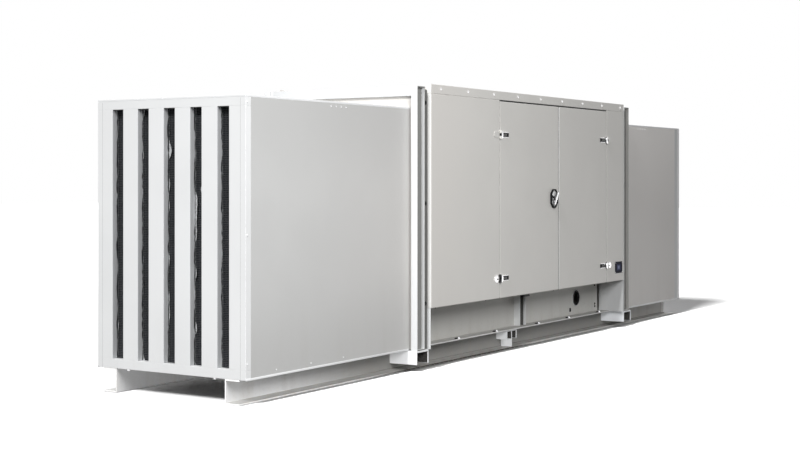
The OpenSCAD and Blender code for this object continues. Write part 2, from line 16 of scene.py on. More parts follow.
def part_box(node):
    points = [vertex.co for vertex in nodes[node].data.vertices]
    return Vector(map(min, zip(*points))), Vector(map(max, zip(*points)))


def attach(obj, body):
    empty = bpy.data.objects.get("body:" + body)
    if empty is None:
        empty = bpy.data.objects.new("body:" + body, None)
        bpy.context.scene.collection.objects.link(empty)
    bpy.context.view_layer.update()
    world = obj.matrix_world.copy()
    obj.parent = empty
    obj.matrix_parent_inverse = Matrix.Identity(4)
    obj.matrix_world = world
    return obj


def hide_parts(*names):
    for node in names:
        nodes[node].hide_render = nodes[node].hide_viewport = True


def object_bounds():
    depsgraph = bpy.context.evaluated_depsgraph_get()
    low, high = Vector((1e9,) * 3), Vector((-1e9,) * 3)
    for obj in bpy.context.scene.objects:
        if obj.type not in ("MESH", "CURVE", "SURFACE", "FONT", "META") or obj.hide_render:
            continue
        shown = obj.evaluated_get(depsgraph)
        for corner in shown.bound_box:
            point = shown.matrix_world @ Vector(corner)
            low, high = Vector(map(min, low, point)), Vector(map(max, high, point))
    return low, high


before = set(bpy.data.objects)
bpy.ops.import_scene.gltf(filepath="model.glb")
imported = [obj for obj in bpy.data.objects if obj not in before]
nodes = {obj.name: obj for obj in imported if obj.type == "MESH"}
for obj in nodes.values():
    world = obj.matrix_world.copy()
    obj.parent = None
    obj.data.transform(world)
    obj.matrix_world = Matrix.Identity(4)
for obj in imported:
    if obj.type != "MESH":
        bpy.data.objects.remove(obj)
scene = bpy.context.scene
cad_low, cad_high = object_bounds()
print("solids:", len(nodes), "box:", cad_low[:], cad_high[:])

# %% [markdown]
# ## The camera
# It stands a little off the left end at eye height and looks along the skid, so
# the left hood's front and the whole near side are seen. It looks level, which
# keeps upright edges upright, and its lens is shifted down instead.

# %% Camera
camera = bpy.data.objects.new("camera", bpy.data.cameras.new("camera"))
scene.collection.objects.link(camera)
camera.location = (-11.8185, -6.9325, 1.591)
camera.rotation_euler = (math.radians(90), 0, math.radians(-57.47))
camera.data.lens = 63.98
camera.data.sensor_width = 36
camera.data.shift_y = -0.0583
camera.data.clip_end = 300
scene.camera = camera
scene.view_settings.view_transform = "Standard"
print("camera:", round(camera.data.lens, 2), "mm lens at", camera.location[:])

# %% [markdown]
# ## Shader arithmetic
# A finish is a small sum: a base colour, plus clouds, plus dust near the ground.
# Written with nodes that sum is long, so one class stands for a node's output and
# turns Python's operators into Math nodes.

# %% A node's output as a value
X, Y, Z = range(3)


class Value:
    """One output of a shader node; arithmetic on it adds Math nodes."""

    def __init__(self, tree, socket):
        self.tree = tree
        self.socket = socket

    def node(self, kind, inputs, output=0, **settings):
        """Add a node: its settings first, then the values or links of its sockets."""
        made = self.tree.nodes.new("ShaderNode" + kind)
        for name, value in settings.items():
            setattr(made, name, value)
        for name, value in inputs.items():
            if isinstance(value, Value):
                self.tree.links.new(value.socket, made.inputs[name])
            else:
                made.inputs[name].default_value = value
        return Value(self.tree, made.outputs[output])

    def math(self, operation, *values):
        return self.node("Math", dict(enumerate(values)), operation=operation)

    def __add__(self, other):
        return self.math("ADD", self, other)

    def __sub__(self, other):
        return self.math("SUBTRACT", self, other)

    def __rsub__(self, other):
        return self.math("SUBTRACT", other, self)

    def __mul__(self, other):
        return self.math("MULTIPLY", self, other)

    def __abs__(self):
        return self.math("ABSOLUTE", self)

    __radd__ = __add__
    __rmul__ = __mul__

# %% [markdown]
# Four patterns are used again and again: noise at a place, a soft step between two
# levels, a blend of two colours, and a bump from a height.

# %% Patterns
def source(tree, kind, output):
    """The output of a new node that has no inputs."""
    return Value(tree, tree.nodes.new("ShaderNode" + kind).outputs[output])


def grain(place, scale, detail=2.0, stretch=(1, 1, 1)):
    """Noise from 0 to 1 at a place; a small stretch value draws it out."""
    where = place.node("Mapping", {"Vector": place, "Scale": stretch})
    return where.node("TexNoise", {"Vector": where, "Scale": scale, "Detail": detail})


def step(value, low, high):
    """0 below low, 1 above high, and smooth between them."""
    return value.node("MapRange", {"Value": value, "From Min": low, "From Max": high},
                      interpolation_type="SMOOTHSTEP")


def blend(share, one, other):
    """The first colour where share is 0, the other where it is 1."""
    return share.node("Mix", {0: share, 6: one, 7: other}, output=2, data_type="RGBA")


def bumps(height, distance, strength=1.0):
    return height.node("Bump", {"Height": height, "Distance": distance, "Strength": strength})


def shade(colour, factor=1.0):
    """A colour made lighter or darker, with the alpha that a socket wants."""
    return (*(channel * factor for channel in colour), 1.0)


def axes(place):
    """The x, y and z of a place."""
    split = place.node("SeparateXYZ", {0: place})
    return [Value(split.tree, output) for output in split.socket.node.outputs]

# %% [markdown]
# ## A white room with plain light
# The set is shown on a white ground that keeps its shadow. The ground and the
# world are white only where the camera or a mirror looks at them, so they add no
# light of their own. On the near side the ground is whiter still, so the shadow
# shows below the set and beyond its far end. A sun comes from beyond the left end,
# and a large soft lamp stands near the camera. It lights the set alone, or it
# would cast a shadow of its own, and so does one for the far side and the right
# end. A small low lamp lights the skid under the hood.

# %% World
def seen_directly(tree):
    """1 where the camera, a mirror or a pane looks, and 0 for light that is spread."""
    seen, *others = [source(tree, "LightPath", name)
                     for name in ("Is Camera Ray", "Is Glossy Ray", "Is Transmission Ray")]
    for other in others:
        seen = seen.math("MAXIMUM", seen, other)
    return seen


world = bpy.data.worlds.new("white_room")
scene.world = world
world.use_nodes = True
ambient_strength = 0.125
room = world.node_tree.nodes["Background"]
room.inputs["Color"].default_value = (1, 1, 1, 1)
strength = seen_directly(world.node_tree) * (1 - ambient_strength) + ambient_strength
world.node_tree.links.new(strength.socket, room.inputs["Strength"])
print("world light", ambient_strength)

# %% Ground
ground_mesh = bmesh.new()
bmesh.ops.create_grid(ground_mesh, x_segments=1, y_segments=1, size=60,
                      matrix=Matrix.Translation((0, 0, -0.002)))
ground = bpy.data.objects.new("ground", bpy.data.meshes.new("ground"))
ground_mesh.to_mesh(ground.data)
ground_mesh.free()
scene.collection.objects.link(ground)


def new_finish(name):
    """A material with nodes, and the Object coordinates to paint it with."""
    material = bpy.data.materials.new(name)
    material.use_nodes = True
    return material, source(material.node_tree, "TexCoord", "Object")


ground_white, place = new_finish("ground_white")
tree = ground_white.node_tree
along, away, _ = axes(place)
near_side = step(away * -1, 0.66, 0.80) * source(tree, "LightPath", "Is Camera Ray")
white = (1, 1, 1)
# Beyond the right end the ground is paler for the camera, a painted light that lightens the shadow
# there.
paler = blend(step(along, 1.0, 4.5), shade(white, 1.6), shade(white, 2.3))
plain = place.node("BsdfDiffuse", {"Color": shade(white, 0.12)})
bright = place.node("BsdfDiffuse", {"Color": blend(near_side, paler, shade(white, 9.0))})
mixed = place.node("MixShader", {0: seen_directly(tree), 1: plain, 2: bright})
tree.links.new(mixed.socket, tree.nodes["Material Output"].inputs["Surface"])
ground.data.materials.append(ground_white)
print("ground:", tuple(ground.dimensions))

# %% Lamps
def add_lamp(name, kind, place, target, energy, size=1.0):
    """A lamp that shines from a place at a target; size is an area lamp's side."""
    lamp = bpy.data.objects.new(name, bpy.data.lights.new(name, kind))
    scene.collection.objects.link(lamp)
    lamp.location = place
    lamp.rotation_euler = (Vector(target) - lamp.location).to_track_quat("-Z", "Y").to_euler()
    lamp.data.energy = energy
    if kind == "AREA":
        lamp.data.size = size
    return lamp


def light_only(lamps, name, members, state="INCLUDE"):
    """Let lamps light only these members, or all but them with the state EXCLUDE."""
    group = bpy.data.collections.new(name)
    for member in members:
        group.objects.link(member)
    for member in group.collection_objects:
        member.light_linking.link_state = state
    for lamp in lamps:
        lamp.light_linking.receiver_collection = group


sun = add_lamp("sun", "SUN", (-8, -0.3, 7.4), (0, 0, 0), 2.8)
sun.data.angle = math.radians(15)
soft_lamp = add_lamp("soft_lamp", "AREA", (-6.4, -7.3, 5.0), (-4.5, 0, 1.1), 720, 4)
low_lamp = add_lamp("low_lamp", "AREA", (-8.0, -2.5, 0.5), (-3.0, -0.6, 0.1), 170, 0.8)
low_lamp.visible_camera = False
back_lamp = add_lamp("back_lamp", "AREA", (8.0, 8.5, 5.0), (1.0, 0, 1.1), 800, 4)
light_only((soft_lamp, back_lamp), "not_the_ground", [ground], "EXCLUDE")
skid_names = ("skid_rails", "cross_beams", "outriggers", "skid_stubs")
light_only([low_lamp], "skid_parts", [nodes[name] for name in skid_names])
print("lamps:", sun.data.energy, soft_lamp.data.energy, low_lamp.data.energy)

# %% [markdown]
# ## Paint
# The canopy is powder coated: a satin skin with a fine orange peel, never quite
# one colour. Noise about a metre wide gives the clouds, fine noise gives the peel
# through a bump, and dust gathers in upright streaks near the ground.

# %% Painted steel
dust_colour = (0.36, 0.33, 0.28)


def set_finish(material, looks):
    """Set the shader's sockets from plain numbers or values."""
    shader = material.node_tree.nodes["Principled BSDF"]
    for name, look in looks.items():
        if isinstance(look, Value):
            material.node_tree.links.new(look.socket, shader.inputs[name])
        else:
            shader.inputs[name].default_value = look
    return material


def painted(name, colour, rough=0.40, clouds=0.025, dust=0.10, dust_top=0.9, peel=0.00012,
            patches=()):
    """Powder coat with clouds, an orange peel and dust below dust_top. A patch is a
    rule that gives its share, from 0 to 1, at a place, and its colour."""
    material, place = new_finish(name)
    cloud = step(grain(place, 1.3, 4), 0.3, 0.7)
    coat = blend(cloud, shade(colour, 1 - clouds), shade(colour, 1 + clouds))
    for rule, tone in patches:
        coat = blend(rule(place), coat, shade(tone))
    streaks = step(grain(place, 9, 4, (1, 1, 0.08)), 0.42, 0.72)
    specks = step(grain(place, 60, 3), 0.5, 0.75)
    low = 1 - step(axes(place)[Z], 0.02, dust_top)
    grime = (streaks * 0.7 + specks * 0.5) * low * dust
    coat = blend(grime, coat, shade(dust_colour))
    skin = grain(place, 380, 2)
    return set_finish(material, {
        "Base Color": coat,
        "Roughness": cloud * 0.06 + (rough - 0.03) + grime * 0.3,
        "Normal": bumps(skin, peel, 0.6), "Specular IOR Level": 0.2,
    })

# %% [markdown]
# One coat covers pieces that stand in different light and wear, so a paint has
# patches, and most of them are painted light and shade. A patch's rule gives its
# share at each place. Rules are small functions that are put together: above a
# height, far out, facing a side, and not.

# %% Rules for patches
def above(axis, low, high):
    """0 where a coordinate is below low, 1 where it is above high."""
    return lambda place: step(axes(place)[axis], low, high)


def outside(low, high):
    """1 at places farther than high from the set's middle plane."""
    return lambda place: step(abs(axes(place)[Y]), low, high)


def facing(axis, way=0):
    """1 on faces that look along an axis; way is -1 or 1, or 0 for both."""
    def share_at(place):
        look = axes(place.node("NewGeometry", {}, output="True Normal"))[axis]
        return step(look * way if way else abs(look), 0.6, 0.8)
    return share_at


def no(rule):
    return lambda place: 1 - rule(place)


def all_of(*rules, strength=1.0):
    """The share that all rules leave together."""
    return lambda place: math.prod((rule(place) for rule in rules), start=strength)


def inner_sides(reach):
    """1 on faces that look sideways, within a reach of the middle plane."""
    return all_of(facing(Y), no(outside(reach - 0.005, reach + 0.005)))


def slot_sides(low, high, fray=0.0):
    """1 on the slots' sides, deeper than high behind the slats' front edges."""
    def deep(place):
        frayed = (grain(place, 7, 4) - 0.5) * fray
        return step(cad_high.x - abs(axes(place)[X]) + frayed, low, high)
    return all_of(inner_sides(0.69), deep)

# %% [markdown]
# Steel is pale on its ends; most other patches here are painted light and shade. The
# rail's webs are painted dark as shade and lighter towards both ends as light, its
# faces that look up or down are painted darker as shade, a strip near its right end
# and its rim carry a painted highlight, and its lowest edge is painted black below
# the machine as a contact shadow. The slots' sides are painted darker near the front
# as shade and paler deeper in, against the shade there.

# %% Paint colours
slot_depth = cad_high.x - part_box("bird_mesh")[1].x
rail_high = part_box("skid_rails")[1]
post_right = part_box("end_frame_posts")[1].x
# Sheet edges that look along x are painted lighter: a painted highlight.
sheet_edge_highlights = all_of(facing(X), outside(0.760, 0.770), no(above(X, -1.73, -1.72)))
post_fronts = all_of(facing(X, -1), outside(0.690, 0.700))
# Bands at the top and bottom of the left hood, painted darker as shade.
hood_shade_bands = all_of(no(all_of(above(Z, 0.25, 0.95), no(above(Z, 1.4, 2.2)))),
                   no(above(X, -1.0, 0.0)), strength=0.6)
# The webs are painted lighter towards both ends of the rail: painted light.
left_web_light = all_of(inner_sides(0.60), no(above(X, -3.6, -1.9)))
right_web_light = all_of(inner_sides(0.60), above(X, 2.2, 2.6))
# A pale strip near the rail's right end: a painted highlight.
rail_end_highlight = all_of(inner_sides(0.60), above(X, rail_high.x - 0.075, rail_high.x - 0.065))
# The lowest edge is painted black below the machine: a painted contact shadow.
contact_shadow_edge = all_of(facing(Y), no(above(Z, 0.014, 0.018)), above(X, -2.6, -1.8))
# A pale line along the lower flange's outer rim: a painted highlight.
rim_highlight = all_of(outside(rail_high.y - 0.045, rail_high.y - 0.035), above(Z, 0.003, 0.004),
                    no(above(Z, 0.016, 0.020)), above(X, 0.0, 0.5))

# The canopy is painted darker at its left end, a painted shade, and its sheet edges carry a painted
# highlight.
canopy_grey = painted("canopy_grey", (0.735, 0.722, 0.692), patches=[
    (no(above(X, -1.9, -0.6)), (0.700, 0.680, 0.650)),
    (sheet_edge_highlights, (0.84, 0.84, 0.82))])
# The sill is painted a darker grey as the shade under the doors, painted lighter again from the
# middle rightwards, and it carries more dust.
sill_shade_grey = painted("sill_shade_grey", (0.575, 0.570, 0.545), dust=0.3, dust_top=0.6, patches=[
    (above(X, -0.5, 1.2), (0.660, 0.656, 0.630))])
# The frame's sideways faces are painted dark as shade; the fronts of the left posts are painted
# lighter as light, and those at the right end darker as shade.
frame_white = painted("frame_white", (0.715, 0.725, 0.730), patches=[
    (inner_sides(2.0), (0.24, 0.24, 0.230)),
    (all_of(post_fronts, no(above(X, 0.0, 0.1))), (0.80, 0.81, 0.815)),
    (all_of(post_fronts, above(X, post_right - 0.030, post_right - 0.025)), (0.42, 0.415, 0.40))])
post_white = painted("post_white", (0.760, 0.770, 0.775), dust=0.05)
# The outriggers are painted lighter and cooler towards the right end: painted light.
outrigger_white = painted("outrigger_white", (0.820, 0.830, 0.840), dust=0.05, patches=[
    (above(X, 0.5, 1.0), (0.895, 0.920, 0.945))])
hood_white = painted("hood_white", (0.800, 0.808, 0.812), dust=0.06)
# The hood grey carries painted light and shade: lighter and warmer towards the right, darker bands
# on the left hood, darker towards the right hood's end and lighter on its upper part. Its last
# strip at the right end is a cooler grey.
hood_grey = painted("hood_grey", (0.582, 0.584, 0.578), patches=[
    (above(X, -4.1, 0.0), (0.680, 0.660, 0.638)),
    (hood_shade_bands, (0.50, 0.50, 0.494)),
    (above(X, 2.2, 4.4), (0.585, 0.566, 0.547)),
    (all_of(above(X, 1.9, 2.0), above(Z, 1.0, 2.4), strength=0.75), (0.86, 0.835, 0.81)),
    (above(X, 3.905, 3.915), (0.535, 0.542, 0.548))])
# The skid is painted light and shade: faces that look up or down and the webs are painted darker as
# shade; the patches below add painted light, highlights and a contact shadow.
skid_grey = painted("skid_grey", (0.74, 0.74, 0.735), dust=0.3, dust_top=0.5, clouds=0.05, patches=[
    (facing(Z), (0.42, 0.415, 0.40)),
    (inner_sides(0.60), (0.30, 0.297, 0.287)),
    (left_web_light, (0.60, 0.602, 0.605)),
    (right_web_light, (0.52, 0.51, 0.49)),
    (rail_end_highlight, (0.85, 0.85, 0.84)),
    (contact_shadow_edge, (0.07, 0.068, 0.062)),
    (rim_highlight, (0.88, 0.88, 0.86))])
# The slots' sides are painted darker near the front as shade and paler deeper in against the shade
# there, and they are dark deepest in, with a frayed edge.
slot_white = painted("slot_white", (0.800, 0.808, 0.812), dust=0.06, patches=[
    (inner_sides(0.69), (0.42, 0.43, 0.44)),
    (slot_sides(0.012, 0.060), (0.80, 0.81, 0.82)),
    (slot_sides(slot_depth * 0.77, slot_depth * 0.81, 0.055), (0.045, 0.047, 0.052))])
print("paints made, slots", round(slot_depth, 3), "deep")

# %% [markdown]
# ## Metals, rubber and foam
# Small hardware is either black and half glossy or bright plated. Plating is a
# metal with faint streaks in its roughness. The lining is a dark fibre board: it
# has no gloss, and a coarse bump that reads as matted fibre.

# %% Hardware finishes
def plated(name, colour, rough=0.25):
    """Bright plating with rubbed streaks."""
    material, place = new_finish(name)
    rub = grain(place, 45, 3, (1, 1, 6))
    return set_finish(material, {
        "Base Color": blend(step(rub, 0.3, 0.7), shade(colour, 0.93), shade(colour, 1.04)),
        "Metallic": 1.0, "Roughness": rub * 0.18 + (rough - 0.09),
        "Normal": bumps(rub, 0.0001, 0.5),
    })


def matt(name, colour, rough, scale, depth, contrast=0.12, shine=0.5):
    """A dull skin: rubber, foam or cast iron, by the size and depth of its grain."""
    material, place = new_finish(name)
    skin = grain(place, scale, 4)
    tone = blend(step(skin, 0.3, 0.7), shade(colour, 1 - contrast), shade(colour, 1 + contrast))
    return set_finish(material, {
        "Base Color": tone, "Roughness": skin * 0.12 + (rough - 0.06),
        "Normal": bumps(skin, depth, 0.8), "Specular IOR Level": shine,
    })


bright_metal = plated("bright_metal", (0.86, 0.86, 0.87))
black_metal = matt("black_metal", (0.008, 0.008, 0.009), 0.5, 220, 0.0002, shine=0.1)
rubber = matt("rubber", (0.022, 0.022, 0.023), 0.62, 150, 0.0002, shine=0.2)
strip_grey = matt("strip_grey", (0.125, 0.125, 0.120), 0.6, 120, 0.0003, shine=0.2)
# A dark sheet colour for painted shade inside channels.
painted_shade_dark = matt("painted_shade_dark", (0.085, 0.082, 0.078), 0.8, 80, 0.0004, 0.3, shine=0.2)
grey_rubber = matt("grey_rubber", (0.20, 0.20, 0.19), 0.6, 150, 0.0002, 0.05)
lining_board = matt("lining_board", (0.028, 0.029, 0.034), 0.9, 90, 0.0015, 0.35, shine=0.2)
torn_cloth = matt("torn_cloth", (0.50, 0.51, 0.52), 0.8, 60, 0.002, 0.45, shine=0.2)
wire_zinc = matt("wire_zinc", (0.15, 0.157, 0.170), 0.5, 200, 0.0002, 0.25)
rusty_iron = matt("rusty_iron", (0.115, 0.070, 0.050), 0.85, 70, 0.0012, 0.4)
filter_white = matt("filter_white", (0.62, 0.62, 0.60), 0.4, 120, 0.0001, 0.05)
machine_black = painted("machine_black", (0.030, 0.030, 0.032), 0.45, 0.1, 0.15)
engine_grey = painted("engine_grey", (0.20, 0.21, 0.22), 0.45, 0.08, peel=0.0006)
alternator_grey = painted("alternator_grey", (0.15, 0.19, 0.23), 0.42, 0.06, peel=0.0004)
print("finishes:", len(bpy.data.materials))

# %% [markdown]
# The radiator's core is thousands of thin fins between flat tubes. They are far
# too many to model, so the finish draws them: a fine wave for the fins, and a
# wider one that leaves a bright tube every few centimetres. The lower hinge leaves
# are dark in a ring round their bright bosses, a painted shade.

# %% Radiator core and hinge leaf finishes
def ripples(along, pitch):
    """A wave from 0 to 1 that repeats every pitch metres."""
    return along.math("SINE", along * (2 * math.pi / pitch)) * 0.5 + 0.5


core_metal, place = new_finish("core_metal")
_, across, upward = axes(place)
fins = ripples(upward, 0.008)
tubes = step(ripples(across, 0.030), 0.80, 0.95)
set_finish(core_metal, {
    "Base Color": blend(tubes, shade((0.035, 0.035, 0.037)), shade((0.12, 0.12, 0.12))),
    "Roughness": tubes * -0.15 + 0.6,
    "Normal": bumps(fins * (1 - tubes) + tubes, 0.003, 0.8),
})

hinge_lines = (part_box("near_panel_left")[1].x + 0.003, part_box("near_panel_right")[0].x - 0.003)
hinge_heights = (0.690, 1.985)
boss_gap = 0.067


def in_dark_ring(place, centre_x, near, far):
    """1 in a ring round a lower boss's centre, and 0 elsewhere."""
    along, _, up = axes(place)
    gap = place.node("CombineXYZ", {0: along - centre_x, 2: up - hinge_heights[0]})
    reach = gap.node("VectorMath", {0: gap}, output="Value", operation="LENGTH")
    return step(reach, near, near + 0.002) * (1 - step(reach, far, far + 0.002))


leaf_finish, place = new_finish("leaf_finish")
# A dark ring round each lower boss: painted shade.
dark_end = (in_dark_ring(place, hinge_lines[0] - boss_gap, 0.047, 0.072)
            + in_dark_ring(place, hinge_lines[1] + boss_gap, 0.034, 0.056))
leaf_grain = grain(place, 200, 3)
set_finish(leaf_finish, {
    "Base Color": blend(dark_end, shade((0.70, 0.69, 0.66)), shade((0.02, 0.02, 0.021))),
    "Roughness": leaf_grain * 0.1 + 0.36,
    "Normal": bumps(leaf_grain, 0.0002, 0.5),
})
print("hinge lines at", [round(x, 4) for x in hinge_lines])

# %% [markdown]
# The plate by the intake end is a plain dark blue sheet with a paler field inside
# a border, left blank.

# %% Blue plate
plate_low, plate_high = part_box("label_plate")
plate_mid = (plate_low + plate_high) / 2
blue_plate, place = new_finish("blue_plate")
along, _, upward = axes(place)
sideways = abs(along - plate_mid.x) * (2 / (plate_high.x - plate_low.x))
updown = abs(upward - plate_mid.z) * (2 / (plate_high.z - plate_low.z))
border = sideways.math("MAXIMUM", sideways, updown)
field_blue = blend(1 - step(border, 0.1, 0.40), shade((0.035, 0.045, 0.100)),
                   shade((0.26, 0.28, 0.42)))
print_grain = grain(place, 300, 2)
set_finish(blue_plate, {
    "Base Color": blend(1 - step(border, 0.40, 0.60), shade((0.0015, 0.002, 0.010)), field_blue),
    "Roughness": print_grain * 0.1 + 0.45,
    "Normal": bumps(print_grain, 0.0001, 0.4), "Specular IOR Level": 0.03,
})
print("plate", round(plate_high.x - plate_low.x, 3), "m wide")

# %% [markdown]
# ## Finishes on the solids
# Every solid keeps its shape. Sheet metal is never sharp, so each folded or cut
# edge also gets a small round: Weld joins the loose triangles and Bevel rounds
# the edges, which then catch a line of light.

# %% Paint the solids
finishes = {
    canopy_grey: ("door_shelves", "end_wall_sides", "end_wall_beams", "door_jambs", "top_beams",
                  "roof_panels", "headers", "near_panel_left", "near_panel_right", "far_panels",
                  "far_doors", "door_left", "door_right"),
    sill_shade_grey: ("sill_panel_near", "sill_panel_far"),
    hood_grey: ("hood_walls", "hood_linings"),
    # The hood caps are paler than the hood walls: a painted highlight along the hoods' top edge.
    hood_white: ("hood_caps", "hood_rails"),
    slot_white: ("hood_slats",),
    frame_white: ("end_frame_posts", "end_frame_rails", "corner_posts"),
    post_white: ("sill_posts",),
    outrigger_white: ("outriggers", "skid_stubs"),
    skid_grey: ("skid_rails", "cross_beams", "deck_plate"),
    black_metal: ("door_left_straps", "door_right_straps", "far_hinges", "latch_dish", "far_latch"),
    bright_metal: ("latch_handle",),
    leaf_finish: ("hinge_leaves",),
    blue_plate: ("label_plate",),
    lining_board: ("sound_splitters",),
    core_metal: ("radiator",),
    machine_black: ("fan", "engine_bearers"),
    engine_grey: ("engine_block", "cylinder_heads"),
    alternator_grey: ("alternator",),
    wire_zinc: ("bird_mesh",),
}
for finish, names in finishes.items():
    for name in names:
        nodes[name].data.materials.clear()
        nodes[name].data.materials.append(finish)
print("painted:", sum(len(names) for names in finishes.values()), "of", len(nodes))

# %% Round the edges
edge_rounds = {
    0.0055: ("near_panel_left", "near_panel_right", "far_panels", "far_doors", "door_left",
             "door_right"),
    0.0030: ("headers", "end_frame_posts", "end_frame_rails", "outriggers",
             "skid_stubs", "sill_posts", "skid_rails"),
    0.0020: ("hood_walls", "hood_caps", "hood_rails", "hood_slats", "end_wall_sides",
             "end_wall_beams", "roof_panels", "engine_block", "engine_bearers"),
    0.0100: ("cylinder_heads",),
}
for width, names in edge_rounds.items():
    for name in names:
        weld = nodes[name].modifiers.new("weld", "WELD")
        weld.merge_threshold = 0.00001
        bevel = nodes[name].modifiers.new("round", "BEVEL")
        bevel.width = width
        bevel.segments = 2
        bevel.limit_method = "ANGLE"
        bevel.angle_limit = math.radians(40)
print("rounded:", sum(len(names) for names in edge_rounds.values()))

# %% [markdown]
# ## Tools for new pieces
# A new piece starts as boxes and round bars, all in the set's own coordinates, so
# nothing has to be moved into place afterwards. The last step rounds its sharp
# edges, turns every face outwards and fastens the piece to a body.


sides = (-1, 1)


def meshes(count):
    return [bmesh.new() for _ in range(count)]


def limits(base, way, near, far):
    """Two limits at distances from a base, the lower one first."""
    return sorted((base + way * near, base + way * far))


def spread(low, high, count):
    """The middles of count equal parts between two places."""
    return [low + (i + 0.5) * (high - low) / count for i in range(count)]


def add_box(bm, low, high):
    """A closed block between two corners."""
    low, high = Vector(low), Vector(high)
    place = Matrix.Translation((low + high) / 2) @ Matrix.Diagonal((*(high - low), 1))
    return bmesh.ops.create_cube(bm, size=1, matrix=place)["verts"]


def add_side_box(bm, side, along, out, up):
    """A block on one side of the set, between limits along x, out from the middle
    plane and up."""
    y0, y1 = limits(0, side, *out)
    return add_box(bm, (along[0], y0, up[0]), (along[1], y1, up[1]))


def add_both_boxes(bm, along, out, up):
    """The same block on both sides of the set."""
    for side in sides:
        add_side_box(bm, side, along, out, up)


def add_bar(bm, start, end, radius, sides=16, tip=None):
    """A closed round bar between two points; tip is the radius at its end."""
    start, end = Vector(start), Vector(end)
    turn = (end - start).to_track_quat("Z", "Y").to_matrix().to_4x4()
    return bmesh.ops.create_cone(
        bm, cap_ends=True, segments=sides, radius1=radius,
        radius2=radius if tip is None else tip, depth=(end - start).length,
        matrix=Matrix.Translation((start + end) / 2) @ turn)["verts"]


def add_turned(bm, profile, centre, axis=(1, 0, 0), steps=64):
    """A closed profile of points round a centre, turned once about an axis."""
    points = [bm.verts.new(centre + Vector(point)) for point in profile]
    edges = [bm.edges.new(pair) for pair in zip(points, points[1:] + points[:1])]
    bmesh.ops.spin(bm, geom=points + edges, cent=centre, axis=axis, angle=math.radians(360),
                   steps=steps, use_merge=True)


def make_piece(name, bm, material, body="set", soften=0.0, segments=2):
    """Round the sharp edges by soften, and fasten the finished piece to a body."""
    if soften:
        sharp = [e for e in bm.edges if e.is_manifold and e.calc_face_angle() > math.radians(40)]
        bmesh.ops.bevel(bm, geom=sharp, offset=soften, segments=segments, profile=0.5,
                        affect="EDGES", material=-1)
    bmesh.ops.recalc_face_normals(bm, faces=bm.faces)
    mesh = bpy.data.meshes.new(name)
    bm.to_mesh(mesh)
    bm.free()
    mesh.materials.append(material)
    mesh.shade_smooth()
    mesh.set_sharp_from_angle(angle=math.radians(36))
    piece = bpy.data.objects.new(name, mesh)
    scene.collection.objects.link(piece)
    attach(piece, body)
    print(name, len(mesh.polygons), "faces on", body)
    return piece

# %% [markdown]
# Bolts are everywhere, so one function sets a row of them: a washer, a six-sided
# head and a small chamfer from a narrower tip. `out` points away from the sheet.
# A dome is the same with a round head and no washer.

# %% Bolt heads
skyward = (0, 0, 1)
dome = (12, False)


def add_bolts(bm, places, out, radius, height, sides=6, washer=True):
    """A bolt head at each place, standing out along a direction."""
    out = Vector(out).normalized()
    for place in places:
        foot = Vector(place)
        if washer:
            add_bar(bm, foot, foot + out * height * 0.3, radius * 1.35, 16)
        add_bar(bm, foot, foot + out * height * 0.8, radius, sides)
        add_bar(bm, foot + out * height * 0.8, foot + out * height, radius, sides, radius * 0.8)


def add_side_bolts(bm, y, places, *look):
    """Bolt heads at (x, z) places on both sides, at a distance y from the middle."""
    for side in sides:
        add_bolts(bm, [(x, side * y, z) for x, z in places], (0, side, 0), *look)

# %% Places that the pieces share
left_panel_low, left_panel_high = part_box("near_panel_left")
right_panel_low, right_panel_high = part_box("near_panel_right")
face_y, panel_y = -left_panel_low.y, -left_panel_high.y
header_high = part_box("headers")[1]
hood_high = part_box("hood_caps")[1]
mesh_low, mesh_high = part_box("bird_mesh")
door_low, door_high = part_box("door_left")
door2_low, door2_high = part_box("door_right")
doors = (("left_door", door_low, door_high), ("right_door", door2_low, door2_high))
web_y = -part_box("sill_panel_near")[0].y
skid_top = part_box("skid_rails")[1].z
print("door face at", round(face_y, 4), "hood ends at", round(hood_high.x, 4))

# %% [markdown]
# ## Bird mesh
# Square welded mesh keeps birds out of both hoods. The solid is a plain sheet, so
# it is replaced by real wires: upright ones in front, level ones behind, half an
# inch apart. Six-sided wires are enough at this size.

# %% Wires
wire_pitch = 0.0127
wire_radius = 0.0009
mesh_face = mesh_high.x

wires = bmesh.new()
columns = int((mesh_high.y - mesh_low.y) / wire_pitch) + 1
rows = int((mesh_high.z - mesh_low.z) / wire_pitch) + 1
for end in sides:
    front = end * (mesh_face - wire_radius)
    behind = end * (mesh_face - 2.6 * wire_radius)
    for y in spread(mesh_low.y, mesh_high.y, columns):
        add_bar(wires, (front, y, mesh_low.z), (front, y, mesh_high.z), wire_radius, 6)
    for z in spread(mesh_low.z, mesh_high.z, rows):
        add_bar(wires, (behind, mesh_low.y, z), (behind, mesh_high.y, z), wire_radius, 6)
bird_wires = make_piece("bird_wires", wires, wire_zinc)
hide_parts("bird_mesh")

# %% [markdown]
# ## Torn facing
# The lining's pale cloth facing is folded round the edges of each slot and has
# frayed there. Each strip is a grid whose free edge is moved in and out by noise,
# with a few long tears, and then given a thickness.

# %% Frayed strips beside the slots
slot_pitch = 0.2515
slot_half = 0.053


